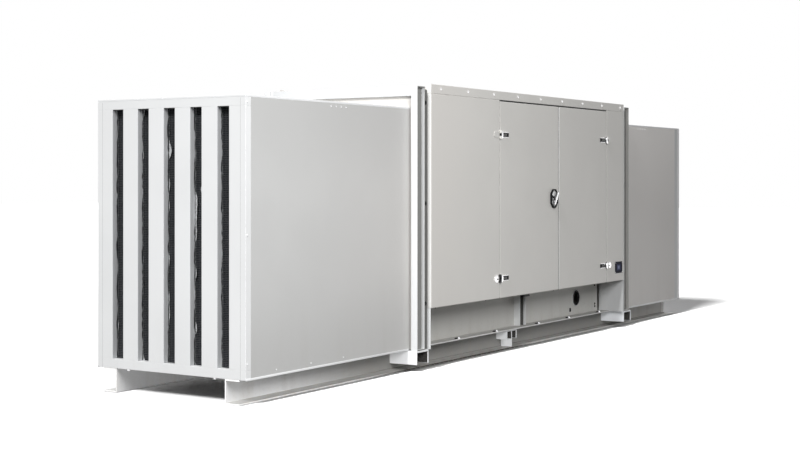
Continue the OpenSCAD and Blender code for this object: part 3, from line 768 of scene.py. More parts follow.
def add_torn_strip(bm, x, edge, inward, low, high, seed):
    """A frayed strip from the slot's edge, inward +1 or -1 across the slot."""
    for v in bmesh.ops.create_grid(bm, x_segments=3, y_segments=160, size=0.5)["verts"]:
        across, up = v.co.x + 0.5, v.co.y + 0.5
        z = low + up * (high - low)
        wave = noise.noise(Vector((seed, 3.1, z * 3.0)))
        tear = max(0.0, noise.noise(Vector((seed, 7.7, z * 7.0))) - 0.25)
        fray = noise.noise(Vector((seed, 1.3, z * 60.0)))
        width = 0.002 + 0.010 * wave + 0.070 * tear + 0.004 * fray
        lift = across * (0.002 + 0.018 * max(0.0, wave) + 0.02 * tear)
        v.co = Vector((x + math.copysign(lift, x), edge + inward * across * max(width, 0.002), z))


facing_strips = bmesh.new()
for end in sides:
    for row in range(5):
        for side in sides:
            edge = (row - 2) * slot_pitch + side * slot_half
            add_torn_strip(facing_strips, end * (mesh_face + 0.0012), edge, -side,
                           mesh_low.z + 0.02, mesh_high.z - 0.01, 10 * row + 3 * side + 50 * end)
bmesh.ops.solidify(facing_strips, geom=facing_strips.faces, thickness=0.0008)
make_piece("torn_facing", facing_strips, torn_cloth)

# %% [markdown]
# ## Hood trim and fixings
# The hood's front frame shows a fine seam where its corner posts meet the slatted
# plate, and a drip edge in the paler paint runs along the foot of each side wall,
# a painted highlight there. Pan-head screws hold the walls near their corners, with
# a group of four bright rivets under the roof where a lifting bracket sits inside.

# %% Hood seams and drip edges
hood_y = hood_high.y
frame_left, frame_right = [corner.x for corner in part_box("end_frame_posts")]
slat_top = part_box("hood_slats")[1].z
seams, drips = meshes(2)
for x in (-hood_high.x, hood_high.x):
    for y in (-0.658, 0.658):
        add_box(seams, (x - 0.0002, y - 0.0006, skid_top + 0.004),
                (x + 0.0002, y + 0.0006, slat_top + 0.055))
# The drip edges take the paler hood paint: a painted highlight along the foot of each wall.
for span in ((-hood_high.x, frame_left), (frame_right, hood_high.x)):
    add_both_boxes(drips, span, (hood_y, hood_y + 0.003), (skid_top - 0.004, skid_top + 0.012))
make_piece("hood_seams", seams, grey_rubber)
make_piece("hood_drip_edges", drips, hood_white, soften=0.0012)

# %% Hood screws and rivets
def from_ends(z, *distances):
    """Places on the hoods' walls at one height, at distances from both ends."""
    return [(end * (hood_high.x - distance), z) for end in sides for distance in distances]


screws, rivets = meshes(2)
for z in (0.292, 1.193, 2.125):
    add_side_bolts(screws, hood_y, from_ends(z, 0.018), 0.007, 0.004, *dome)
low_screws = from_ends(skid_top + 0.040, 0.350, 0.770, 1.190)
add_side_bolts(screws, hood_y, low_screws, 0.006, 0.0035, *dome)
add_side_bolts(rivets, hood_y, from_ends(2.138, 1.027, 1.093, 1.159, 1.225), 0.006, 0.004, *dome)
feet = [(x, y, z) for x, z in from_ends(skid_top, 0.020) for y in (-0.413, 0.413)]
add_bolts(rivets, feet, (0, 0, -1), 0.010, 0.012)
make_piece("hood_screws", screws, hood_white)
make_piece("hood_rivets", rivets, bright_metal)

# %% [markdown]
# ## Canopy fixings
# Black bolts hold the strips beside the end frames, each over a thin dark strip that
# is painted shade in the gap there, and bright dome heads run along each header.

# %% Strip bolts and header domes
strip_low, strip_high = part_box("corner_posts")
strip_middles = (left_panel_low.x - 0.031, right_panel_high.x + 0.031)
strip_bolts, gap_shades, domes = meshes(3)
places = [(x, z) for x in strip_middles for z in (2.217, 1.383, 0.554)]
add_side_bolts(strip_bolts, panel_y + 0.002, places, 0.012, 0.008)
# Thin dark strips in the gaps beside the panels: painted shade.
for span in ((strip_low.x + 0.001, left_panel_low.x - 0.008),
             (right_panel_high.x + 0.008, strip_high.x - 0.001)):
    add_both_boxes(gap_shades, span, (panel_y, panel_y + 0.002), (skid_top, header_high.z - 0.05))
add_side_bolts(domes, face_y, [(-1.587 + i * 0.461, 2.3404) for i in range(9)], 0.011, 0.006, *dome)
make_piece("strip_bolts", strip_bolts, black_metal)
make_piece("strip_gap_shades", gap_shades, strip_grey)
make_piece("header_domes", domes, bright_metal)

# %% [markdown]
# ## Seals in the gaps
# From outside, the gaps round the doors look closed: a grey bead stands in each
# upright gap, just behind the face, and a black strip in the gap over the doors is
# painted shade. Each bead sits on the fixed side or on the door's own edge, and stops short
# of its neighbour. The right door has a white lip along its meeting edge, which
# shows as a bright line.

# %% Beads, lip and strips
def add_bead(bm, x0, x1, side=-1, depth=0.003):
    """An upright bead between two places along x, set back from the face."""
    outer = face_y - depth
    add_side_box(bm, side, (x0, x1), (outer, outer - 0.012), (door_low.z, door_high.z))


fixed_beads, meeting_bead, meeting_lip, gap_shade_strips = meshes(4)
for side in sides:
    add_bead(fixed_beads, left_panel_high.x, left_panel_high.x + 0.0045, side)
    add_bead(fixed_beads, right_panel_low.x - 0.0045, right_panel_low.x, side)
add_bead(fixed_beads, door_high.x, door2_low.x, 1)
add_bead(meeting_bead, door2_low.x - 0.0055, door2_low.x, depth=0.0)
add_side_box(meeting_lip, -1, (door2_low.x + 0.0030, door2_low.x + 0.0080),
             (face_y - 0.006, face_y + 0.0030), (door2_low.z + 0.006, door2_high.z - 0.006))
# A black strip in the gap over the doors: painted shade.
add_both_boxes(gap_shade_strips, (door_low.x, door2_high.x), (panel_y + 0.006, face_y - 0.006),
               (door_high.z + 0.002, door_high.z + 0.011))
make_piece("fixed_beads", fixed_beads, grey_rubber, soften=0.001)
make_piece("meeting_bead", meeting_bead, grey_rubber, "right_door", 0.001)
make_piece("meeting_lip", meeting_lip, hood_white, "right_door", 0.0012)
make_piece("door_gap_shade_strips", gap_shade_strips, rubber)

# %% [markdown]
# ## Inside of the doors
# Each leaf carries a rubber seal round its edge and a foam board in the middle.
# The board is cut in squares like a quilt, and flat pins hold it to the sheet. The
# fixed walls are lined in the same way.

# %% Door seals
seal_width = 0.014
for body, low, high in doors:
    seal = bmesh.new()
    x0, x1, z0, z1 = low.x + 0.012, high.x - 0.012, low.z + 0.026, high.z - 0.012
    between = (z0 + seal_width, z1 - seal_width)
    for span, rise in (((x0, x1), (z0, between[0])), ((x0, x1), (between[1], z1)),
                       ((x0, x0 + seal_width), between), ((x1 - seal_width, x1), between)):
        add_side_box(seal, -1, span, (panel_y - 0.010, panel_y), rise)
    make_piece(body + "_seal", seal, rubber, body, 0.003)

# %% Foam boards
foam_depth = 0.045
foam_rows = 6
foam_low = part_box("door_shelves")[1].z + 0.030
foam_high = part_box("top_beams")[0].z - 0.030


def add_wall_foam(board, pins, low, high, margin, side, columns=4):
    """Foam squares on the inside of a wall, and a pin where four of them meet."""
    x0, width = low.x + margin, (high.x - low.x - 2 * margin) / columns
    height = (foam_high - foam_low) / foam_rows
    for i in range(columns):
        for j in range(foam_rows):
            x, z = x0 + i * width, foam_low + j * height
            add_side_box(board, side, (x, x + width), (panel_y - foam_depth, panel_y),
                         (z, z + height))
            if i and j:
                pin = Vector((x, side * (panel_y - foam_depth + 0.012), z))
                add_bar(pins, pin, pin - Vector((0, side * 0.010, 0)), 0.016, 20, 0.013)


def make_foam(label, body, walls):
    board, pins = meshes(2)
    for wall in walls:
        add_wall_foam(board, pins, *wall)
    make_piece(label + "_foam", board, lining_board, body, 0.012, 3)
    make_piece(label + "_foam_pins", pins, black_metal, body)


for body, low, high in doors:
    make_foam(body, body, [(low, high, 0.075, -1)])
walls = []
for side in sides:
    walls.append((left_panel_low, left_panel_high, 0.080, side))
    walls.append((right_panel_low, right_panel_high, 0.080, side, 1))
make_foam("wall", "set", walls + [(low, high, 0.075, 1) for body, low, high in doors])

# %% [markdown]
# ## Hinges
# On the fixed panel the hinge ends in a bright round boss, at the lower hinges
# only. On the door a bright half-moon plate covers the strap's round cheek, and
# the strap carries a pale inlay between its ribs and a bolt at its tip.

# %% Hinge half-moons, ribs and bosses
hinge_radius = 0.038
strap_face = face_y + 0.005


def add_half_moon(bm, hinge_x, hinge_z, along, y_low, y_high, near, far, radius):
    """A slice of a disc between two distances from the hinge line."""
    disc = bmesh.ops.create_cone(
        bm, cap_ends=True, segments=48, radius1=radius, radius2=radius, depth=y_high - y_low,
        matrix=Matrix.Translation((hinge_x, (y_low + y_high) / 2, hinge_z))
        @ Matrix.Rotation(math.radians(90), 4, "X"))["verts"]
    for distance, keep in ((near, 1), (far, -1)):
        geom = dict.fromkeys(part for v in disc for part in (v, *v.link_edges, *v.link_faces))
        cut = bmesh.ops.bisect_plane(
            bm, geom=list(geom), plane_co=(hinge_x + along * distance, 0, 0),
            plane_no=(-along * keep, 0, 0), clear_outer=True)
        rim = [g for g in cut["geom_cut"] if isinstance(g, bmesh.types.BMEdge)]
        bmesh.ops.contextual_create(bm, geom=rim)
        disc = [v for v in disc if v.is_valid] + [v for e in rim for v in e.verts]


for side, body_of in ((-1, ("left_door", "right_door")), (1, ("set", "set"))):
    for line, along, body in zip(hinge_lines, (1, -1), body_of):
        moons, inlays, ribs = meshes(3)
        strap = limits(line, along, 0.038, 0.158)
        for z in hinge_heights:
            low, high = limits(0, side, strap_face - 0.0005, face_y + 0.0165)
            add_half_moon(moons, line, z, along, low, high, 0.0100, 0.0375, hinge_radius)
            add_side_box(inlays, side, limits(line, along, 0.046, 0.128),
                         (strap_face - 0.0005, strap_face + 0.0010), (z - 0.010, z + 0.010))
            for rise in (-1, 1):
                add_side_box(ribs, side, strap, (strap_face - 0.0005, strap_face + 0.0025),
                             limits(z, rise, 0.0115, 0.0175))
                add_side_box(moons, side, strap, (face_y, strap_face + 0.0005),
                             limits(z, rise, 0.0195, 0.0235))
            tip = (line + along * 0.144, side * strap_face, z)
            add_bolts(ribs, [tip], (0, side, 0), 0.008, 0.004)
        label = ("near_" if side < 0 else "far_") + ("left" if along > 0 else "right")
        make_piece(label + "_hinge_moons", moons, bright_metal, body, 0.0005)
        make_piece(label + "_strap_inlays", inlays, strip_grey, body)
        make_piece(label + "_strap_ribs", ribs, black_metal, body, 0.0008)

bosses, boss_pins = meshes(2)
for side in sides:
    out = Vector((0, side, 0))
    for line, along, radius in zip(hinge_lines, (1, -1), (0.036, 0.033)):
        foot = Vector((line - along * boss_gap, side * (face_y + 0.004), hinge_heights[0]))
        add_bar(bosses, foot - out * 0.004, foot + out * 0.004, radius, 40, radius - 0.003)
        pin = foot + Vector((along * 0.012, side * 0.004, -0.004))
        add_bar(boss_pins, pin, pin + out * 0.0015, 0.008, 20)
make_piece("hinge_bosses", bosses, bright_metal, soften=0.0008)
make_piece("boss_pins", boss_pins, black_metal)

# %% [markdown]
# ## Latch
# The dish is a black eight-sided ring with a pale pressed floor. Its handle turns
# on a black collar with three dark bars, which are painted shade, and a small lock
# with a bright core sits beside it.

# %% Latch floor, collar and lock
dish_mid = sum(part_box("latch_dish"), Vector()) / 2


def add_octagon(bm, half_x, half_z, cut, side, near, far):
    """A closed eight-sided plate centred on the latch: a box with its corners cut."""
    verts = add_side_box(bm, side, (dish_mid.x - half_x, dish_mid.x + half_x), (near, far),
                         (dish_mid.z - half_z, dish_mid.z + half_z))
    corners = [e for e in dict.fromkeys(e for v in verts for e in v.link_edges)
               if abs(e.verts[0].co.y - e.verts[1].co.y) > abs(far - near) / 2]
    bmesh.ops.bevel(bm, geom=corners, offset=cut, segments=1, profile=0.5, affect="EDGES",
                    material=-1, offset_type="OFFSET")


for side, body, label in ((-1, "left_door", "near"), (1, "set", "far")):
    floor_plate, dark_parts, lock_core = meshes(3)
    out = Vector((0, side, 0))
    add_octagon(floor_plate, 0.0500, 0.0750, 0.022, side, face_y + 0.0028, face_y + 0.0045)
    centre = Vector((dish_mid.x, side * face_y, dish_mid.z))
    add_bar(dark_parts, centre + out * 0.004, centre + out * 0.020, 0.021, 32, 0.019)
    # Three dark bars from the collar: painted shade.
    for turn in (35, 145, 270):
        reach = Vector((math.cos(math.radians(turn)), 0, math.sin(math.radians(turn)))) * 0.046
        add_bar(dark_parts, centre + out * 0.008, centre + out * 0.008 + reach, 0.0065, 8)
    lock = centre + Vector((-0.038, 0, -0.005))
    add_bar(dark_parts, lock + out * 0.004, lock + out * 0.017, 0.0145, 28, 0.0125)
    add_bar(lock_core, lock + out * 0.015, lock + out * 0.0185, 0.007, 20)
    screws = [centre + Vector((x, side * 0.0045, z)) for x, z in ((0.030, -0.062), (-0.030, 0.062))]
    add_bolts(lock_core, screws, out, 0.005, 0.003, *dome)
    make_piece(label + "_latch_floor", floor_plate, hood_white, body)
    make_piece(label + "_latch_collar", dark_parts, black_metal, body, 0.0008)
    make_piece(label + "_lock_core", lock_core, bright_metal, body, 0.0005)

# %% [markdown]
# ## Sill and cable entry
# Cables leave through the round hole in the near sill, so a rubber grommet inside a
# rolled ring protects them. Each is a profile turned round the hole's axis. Beside
# them are the bolts that hold the sill sheet and a small black earth block. Bright
# bolts stand on the rail's top flange, each with a black bolt head beside it that is
# a painted shadow.

# %% Cable entry ring and grommet
entry = Vector((1.6255, -web_y, 0.349))
ring, grommet = meshes(2)
for bm, *profile in (
        (ring, (0.078, 0.001), (0.078, -0.004), (0.081, -0.006), (0.085, -0.004),
         (0.086, 0.001)),
        (grommet, (0.066, 0.006), (0.066, -0.006), (0.070, -0.009), (0.077, -0.008),
         (0.079, 0.001))):
    add_turned(bm, [(radius, depth, 0) for radius, depth in profile], entry, (0, 1, 0), 48)
make_piece("entry_ring", ring, hood_white)
make_piece("entry_grommet", grommet, rubber)

# %% Sill bolts and earth blocks
sill_places = ((2.085, 0.454), (2.090, 0.256), (2.090, 0.228), (1.10, 0.47), (-0.30, 0.47),
               (-1.20, 0.47))
bolt_row = (-0.978, -0.283, 0.568, 1.239, 1.969)
sill_bolts, blocks_and_bolt_shadows, flange_bolts = meshes(3)
add_side_bolts(sill_bolts, web_y, sill_places, 0.009, 0.006)
add_both_boxes(blocks_and_bolt_shadows, (1.474, 1.504), (web_y, web_y + 0.004), (skid_top + 0.034, skid_top + 0.074))
add_side_bolts(blocks_and_bolt_shadows, web_y + 0.004, [(1.489, skid_top + 0.054)], 0.008, 0.005)
for y in (-web_y - 0.100, web_y + 0.100):
    # A black bolt head beside each bright one: a painted shadow.
    add_bolts(blocks_and_bolt_shadows, [(x - 0.034, y, skid_top) for x in bolt_row], skyward, 0.013, 0.010)
    add_bolts(flange_bolts, [(x, y, skid_top) for x in bolt_row], skyward, 0.016, 0.015)
make_piece("sill_bolts", sill_bolts, black_metal)
make_piece("earth_brackets_and_bolt_shadows", blocks_and_bolt_shadows, black_metal, soften=0.0008)
make_piece("flange_bolts", flange_bolts, bright_metal)

# %% [markdown]
# ## Insides of the short channels
# The outriggers and the middle stubs are channels that open downwards. Thin dark
# sheets line the two cheeks, the top and the stub's gusset: painted shade inside the
# channels. The sill posts have a dark web and a dark inner face too, painted shade in
# their grooves, and a black block under the door shelf that is painted shade.

# %% Channel insides
outrigger_low, outrigger_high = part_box("outriggers")
stub_low, stub_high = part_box("skid_stubs")
cheek, sheet = 0.010, 0.001
top_z = skid_top - 0.012 - cheek
# Thin dark sheets inside the channels: painted shade.
shade_sheets = bmesh.new()
for x0, x1, foot_z, high in (
        (outrigger_low.x, outrigger_low.x + 0.185, outrigger_low.z, outrigger_high),
        (outrigger_high.x - 0.185, outrigger_high.x, outrigger_low.z, outrigger_high),
        (stub_low.x, stub_high.x, 0.084, stub_high)):
    x0, x1 = x0 + cheek, x1 - cheek
    for span, foot in (((x0, x0 + sheet), foot_z + 0.004), ((x1 - sheet, x1), foot_z + 0.004),
                       ((x0, x1), top_z - sheet)):
        add_both_boxes(shade_sheets, span, (web_y + 0.002, high.y - 0.004), (foot, top_z))
add_both_boxes(shade_sheets, (-0.006, -0.005), (web_y + 0.002, stub_high.y - 0.004), (0.088, top_z))
make_piece("channel_shade_sheets", shade_sheets, painted_shade_dark)

# %% Post grooves and shelf shade blocks
post_low, post_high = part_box("sill_posts")
x0, x1, tall = post_low.x + cheek, post_high.x - cheek, (post_low.z, post_high.z)
post_web = web_y + cheek
# Dark strips in the posts' grooves and a black block under each shelf: painted shade.
grooves, shade_blocks = meshes(2)
add_both_boxes(grooves, (x0, x1), (post_web - sheet, post_web + sheet), tall)
add_both_boxes(grooves, (x1 - sheet, x1), (post_web, web_y + 0.64 * (post_high.y - web_y)), tall)
add_both_boxes(shade_blocks, (post_low.x + 0.060, post_high.x + 0.060),
               (post_high.y - 0.045, post_high.y + 0.010), (post_high.z - 0.058, post_high.z))
make_piece("post_grooves", grooves, strip_grey)
make_piece("shelf_shade_blocks", shade_blocks, rubber, soften=0.002)

# %% [markdown]
# ## Label plate rivets
# Four small rivets hold the blue plate.

# %% Plate rivets
plate_rivets = bmesh.new()
inset = 0.010
corners = [(x, plate_low.y, z) for x in (plate_low.x + inset, plate_high.x - inset)
           for z in (plate_low.z + inset, plate_high.z - inset)]
add_bolts(plate_rivets, corners, (0, -1, 0), 0.004, 0.002, *dome)
make_piece("plate_rivets", plate_rivets, bright_metal)

# %% [markdown]
# ## Radiator dress
# The radiator's core stands between an upper and a lower tank, with folded side
# channels and a filler neck. Two stays reach from it to the engine.

# %% Tanks, channels and stays
core_low, core_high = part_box("radiator")
tanks, channels, necks = meshes(3)
front, back = core_low.x - 0.003, core_high.x + 0.012
add_box(tanks, (front, core_low.y, core_high.z - 0.120), (back, core_high.y, core_high.z + 0.003))
add_box(tanks, (front, core_low.y, core_low.z - 0.003), (back, core_high.y, core_low.z + 0.110))
for i in range(9):
    y = core_low.y + 0.10 + i * (core_high.y - core_low.y - 0.20) / 8
    add_box(tanks, (back - 0.004, y - 0.010, core_high.z - 0.105),
            (back + 0.006, y + 0.010, core_high.z - 0.015))
add_both_boxes(channels, (back - 0.020, back), (core_high.y - 0.045, core_high.y),
               (core_low.z + 0.110, core_high.z - 0.120))
for side in sides:
    foot = (back, side * 0.30, core_high.z - 0.060)
    add_bar(channels, foot, (-1.30, side * 0.15, 1.235), 0.012, 12)
    row = [(back, side * (core_high.y - 0.022), core_low.z + 0.20 + i * 0.22) for i in range(6)]
    add_bolts(channels, row, (1, 0, 0), 0.009, 0.007)
neck = Vector(((core_low.x + core_high.x) / 2, -0.35, core_high.z))
cap = neck + Vector((0, 0, 0.034))
add_bar(necks, neck, cap, 0.028, 24)
add_bar(necks, cap, cap + Vector((0, 0, 0.018)), 0.039, 12, 0.035)
make_piece("radiator_tanks", tanks, machine_black, soften=0.005)
make_piece("radiator_channels", channels, machine_black)
make_piece("filler_neck", necks, bright_metal, soften=0.001)

# %% [markdown]
# The fan turns in a sheet ring with a flared mouth, and a wire cage keeps hands
# out. The ring is a closed profile turned round the shaft; the cage is thin hoops,
# each a small circle turned the same way, and straight wires.

# %% Fan ring and cage
def spoke(degrees):
    """A direction across the x axis."""
    turn = math.radians(degrees)
    return Vector((0, math.cos(turn), math.sin(turn)))


def add_ring(bm, profile, centre, steps=64):
    """A closed profile of (x, radius) pairs turned once round a line along x."""
    add_turned(bm, [(x, 0, radius) for x, radius in profile], centre, steps=steps)


def add_hoop(bm, x, radius, wire, centre, corners=6, steps=64):
    """A round wire bent to a full circle."""
    around = [spoke(360 * i / corners) * wire for i in range(corners)]
    add_ring(bm, [(x + at.y, radius + at.z) for at in around], centre, steps)


shaft = Vector((0, 0, (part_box("fan")[0].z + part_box("fan")[1].z) / 2))
shroud, cage = meshes(2)
x0 = core_high.x + 0.002
add_ring(shroud, [(x0, 0.585), (x0 + 0.042, 0.555), (x0 + 0.115, 0.546), (x0 + 0.115, 0.552),
                  (x0 + 0.044, 0.562), (x0, 0.595)], shaft)
for x in (x0 + 0.135, x0 + 0.160, x0 + 0.185):
    add_hoop(cage, x, 0.553, 0.0025, shaft)
for i in range(48):
    rim = shaft + spoke(i * 7.5) * 0.556
    add_bar(cage, rim + Vector((x0 + 0.110, 0, 0)), rim + Vector((x0 + 0.187, 0, 0)), 0.002, 6)
make_piece("fan_ring", shroud, machine_black)
make_piece("fan_cage", cage, bright_metal)

# %% [markdown]
# ## Engine dress
# The engine's block is plain in the solids. Rocker covers on the heads, covers with
# bolts on its sides, a starter, oil filters and a flywheel ring make it read as a
# diesel engine. Castings get a wide round; pressed covers get a narrow one.

# %% Rocker covers and side covers
block_low, block_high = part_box("engine_block")
head_low, head_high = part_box("cylinder_heads")
head_middles = spread(head_low.x - 0.010, head_high.x + 0.010, 6)
flank, top = block_high.y, head_high.z
rockers, plates, engine_bolts, injectors = meshes(4)
for x in head_middles:
    add_box(rockers, (x - 0.118, -0.135, top), (x + 0.118, 0.135, top + 0.014))
    add_box(rockers, (x - 0.105, -0.118, top + 0.010), (x + 0.105, 0.118, top + 0.075))
    add_bolts(engine_bolts, [(x, y, top + 0.075) for y in (-0.080, 0.080)], skyward, 0.011, 0.012)
    add_bar(injectors, (x, -0.150, top), (x, -0.150, top + 0.045), 0.011, 12, 0.008)
    add_both_boxes(plates, (x - 0.108, x + 0.108), (flank, flank + 0.012), (0.590, 0.840))
    corners = [(x + dx, z) for dx in (-0.092, 0.092) for z in (0.606, 0.715, 0.824)]
    add_side_bolts(engine_bolts, flank + 0.012, corners, 0.009, 0.008)
for rise in ((0.440, 0.462), (0.980, 0.996)):
    add_both_boxes(plates, (block_low.x + 0.02, block_high.x - 0.02), (flank, flank + 0.016), rise)
for y in (-flank - 0.008, flank + 0.008):
    row = [(block_low.x + 0.08 + i * 0.10, y, 0.462) for i in range(17)]
    add_bolts(engine_bolts, row, skyward, 0.008, 0.008)
make_piece("rocker_covers", rockers, engine_grey, soften=0.006)
make_piece("engine_covers", plates, engine_grey, soften=0.003)
make_piece("engine_bolts", engine_bolts, bright_metal)
make_piece("injectors", injectors, bright_metal)

# %% Starter, filters, fuel pump and flywheel ring
starter, filters, flywheel = meshes(3)
add_bar(starter, (-0.170, -0.400, 0.520), (0.180, -0.400, 0.520), 0.062, 32)
add_bar(starter, (-0.110, -0.385, 0.620), (0.090, -0.385, 0.620), 0.032, 24)
add_box(starter, (0.060, -0.440, 0.500), (0.120, -0.330, 0.640))
add_box(starter, (-1.330, -0.420, 0.880), (-0.860, -0.330, 0.960))
for x in [-1.290 + i * 0.078 for i in range(6)]:
    add_bar(starter, (x, -0.375, 0.960), (x, -0.375, 1.010), 0.014, 12)
add_box(starter, (-0.760, -0.425, 0.862), (-0.360, -0.330, 0.905))
for x in [-0.690 + i * 0.130 for i in range(3)]:
    add_bar(filters, (x, -0.400, 0.600), (x, -0.400, 0.862), 0.052, 32, 0.055)
hub = Vector((0, 0, 0.720))
add_ring(flywheel, [(0.150, 0.300), (0.150, 0.345), (0.172, 0.372), (0.206, 0.372), (0.206, 0.300)],
         hub)
rim_bolts = [hub + spoke(i * 15) * 0.352 + Vector((0.172, 0, 0)) for i in range(24)]
add_bolts(flywheel, rim_bolts, (-1, 0, 0), 0.010, 0.010, washer=False)
make_piece("starter_and_pump", starter, machine_black, soften=0.004)
make_piece("oil_filters", filters, filter_white, soften=0.006)
make_piece("flywheel_ring", flywheel, engine_grey)

# %% [markdown]
# Pipes are curves: a smooth line through a few points with a round section, turned
# into a mesh. The exhaust gathers in a rusty manifold, drives the turbo and leaves
# through the silencer under the roof. Air comes through two filter drums.

# %% Pipes, manifold and turbo
def make_pipe(name, radius, material, *route):
    """A bent pipe along a smooth line through the route's points."""
    curve = bpy.data.curves.new(name + "_line", "CURVE")
    curve.dimensions = "3D"
    curve.bevel_depth = radius
    curve.bevel_resolution = 5
    curve.resolution_u = 10
    curve.use_fill_caps = True
    line = curve.splines.new("BEZIER")
    line.bezier_points.add(len(route) - 1)
    for point, at in zip(line.bezier_points, route):
        point.co = at
        point.handle_left_type = point.handle_right_type = "AUTO"
    guide = bpy.data.objects.new(name + "_line", curve)
    scene.collection.objects.link(guide)
    shaped = guide.evaluated_get(bpy.context.evaluated_depsgraph_get())
    pipe = bmesh.new()
    pipe.from_mesh(bpy.data.meshes.new_from_object(shaped))
    bpy.data.objects.remove(guide)
    bmesh.ops.remove_doubles(pipe, verts=pipe.verts, dist=0.00001)
    return make_piece(name, pipe, material)


manifold, compressor = meshes(2)
exhaust_y, port_z = 0.250, 1.165
turbo = Vector((-0.700, exhaust_y, 1.390))
add_bar(manifold, (-1.430, exhaust_y, port_z), (0.100, exhaust_y, port_z), 0.048, 24)
for x in head_middles:
    add_bar(manifold, (x, head_high.y, port_z), (x, exhaust_y, port_z), 0.036, 20)
    add_box(manifold, (x - 0.060, head_high.y, 1.115), (x + 0.060, head_high.y + 0.014, 1.215))
add_hoop(manifold, -0.055, 0.080, 0.048, turbo, 12, 32)
add_bar(manifold, turbo + Vector((-0.100, 0, 0)), turbo + Vector((0.010, 0, 0)), 0.062, 28)
add_bar(manifold, (-0.755, exhaust_y, 1.200), (-0.755, exhaust_y, 1.300), 0.042, 20)
add_hoop(compressor, 0.075, 0.078, 0.040, turbo, 12, 32)
add_bar(compressor, turbo + Vector((0.010, 0, 0)), turbo + Vector((0.130, 0, 0)), 0.058, 28)
make_piece("exhaust_manifold", manifold, rusty_iron, soften=0.002)
make_piece("turbo_compressor", compressor, bright_metal)
make_pipe("exhaust_riser", 0.048, rusty_iron, (-0.790, 0.250, 1.390), (-0.930, 0.250, 1.420),
          (-1.000, 0.250, 1.560), (-1.000, 0.250, 1.840))
make_pipe("tail_pipe", 0.048, rusty_iron, (-1.240, 0.250, 1.970), (-1.420, 0.250, 2.010),
          (-1.560, 0.250, 2.105), (-1.930, 0.250, 2.110))

# %% Silencer and air filters
silencer, straps, drums, clamps = meshes(4)
silencer_mid, drum_line = Vector((0, exhaust_y, 1.970)), Vector((0, -0.255, 1.520))
roof_low, roof_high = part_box("roof_panels")
add_ring(silencer, [(-1.250, 0.001), (-1.250, 0.060), (-1.190, 0.150), (0.090, 0.150),
                    (0.150, 0.060), (0.150, 0.001)], silencer_mid, 48)


def add_band(bm, x0, x1, inner, outer, centre, steps):
    """A flat ring from x0 to x1."""
    add_ring(bm, [(x0, inner), (x1, inner), (x1, outer), (x0, outer)], centre, steps)


for x in (-1.000, -0.100):
    add_band(straps, x - 0.020, x + 0.020, 0.150, 0.155, silencer_mid, 48)
    for y in (exhaust_y - 0.152, exhaust_y + 0.152):
        add_box(straps, (x - 0.020, y - 0.0025, silencer_mid.z),
                (x + 0.020, y + 0.0025, roof_low.z))
for x in (-1.150, -0.580):
    start, shoulder, end = [drum_line + Vector((x + reach, 0, 0)) for reach in (0, 0.440, 0.500)]
    add_bar(drums, start, shoulder, 0.132, 40)
    add_bar(drums, shoulder, end, 0.115, 40, 0.060)
    for x1 in (x + 0.060, x + 0.380):
        add_band(clamps, x1, x1 + 0.014, 0.131, 0.135, drum_line, 40)
        add_box(drums, (x1 - 0.012, -0.160, 1.310), (x1 + 0.012, -0.100, 1.500))
make_piece("silencer", silencer, rusty_iron, soften=0.004)
make_piece("silencer_straps", straps, machine_black)
make_piece("air_filters", drums, machine_black, soften=0.005)
make_piece("filter_clamps", clamps, bright_metal)
make_pipe("intake_elbow", 0.045, rubber, (-0.110, -0.255, 1.520), (0.020, -0.240, 1.540),
          (0.060, -0.050, 1.560), (-0.150, 0.200, 1.470), (-0.570, 0.250, 1.390))
make_pipe("coolant_elbow_top", 0.032, rubber, (-1.735, 0.080, 1.850), (-1.600, 0.080, 1.830),
          (-1.440, 0.060, 1.640), (-1.400, 0.040, 1.400), (-1.400, 0.030, 1.310))
make_pipe("coolant_elbow_low", 0.032, rubber, (-1.735, 0.440, 0.620), (-1.580, 0.440, 0.600),
          (-1.400, 0.420, 0.560), (-1.340, 0.335, 0.560))

# %% [markdown]
# ## Alternator dress
# Cooling ribs run along the shell, the terminal box has a bolted lid with a cable
# gland row, and the end is a ring of air slots.

# %% Ribs, lid and end slots
alternator_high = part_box("alternator")[1]
shell = Vector((0, 0, 0.760))
shell_radius = 0.330
ribs, lid, slots = meshes(3)
for turn in range(0, 360, 9):
    if not 50 < turn < 130:
        rim = shell + spoke(turn) * (shell_radius + 0.001)
        add_bar(ribs, rim + Vector((0.340, 0, 0)), rim + Vector((1.080, 0, 0)), 0.005, 6)
end_mid = shell + Vector((alternator_high.x + 0.001, 0, 0))
for i in range(28):
    ray = spoke(i * 360 / 28)
    add_bar(slots, end_mid + ray * 0.190, end_mid + ray * 0.290, 0.007, 8)
lid_z = alternator_high.z
add_box(lid, (0.5455, -0.270, lid_z - 0.060), (1.1695, 0.270, lid_z - 0.046))
lid_bolts = [(x, y, lid_z) for x in (0.590, 0.857, 1.125) for y in (-0.225, 0.225)]
add_bolts(lid, lid_bolts, skyward, 0.009, 0.008)
for x in [0.660 + i * 0.130 for i in range(4)]:
    add_bar(lid, (x, -0.260, 1.130), (x, -0.290, 1.130), 0.026, 6, 0.024)
    add_bar(lid, (x, -0.290, 1.130), (x, -0.312, 1.130), 0.020, 20, 0.016)
make_piece("alternator_ribs", ribs, alternator_grey)
make_piece("terminal_lid", lid, alternator_grey, soften=0.001)
make_piece("alternator_slots", slots, black_metal)

# %% [markdown]
# ## Batteries and roof foam
# Two starter batteries stand on the deck beyond the alternator, held by a bar. The
# roof is lined with foam squares between the beams.

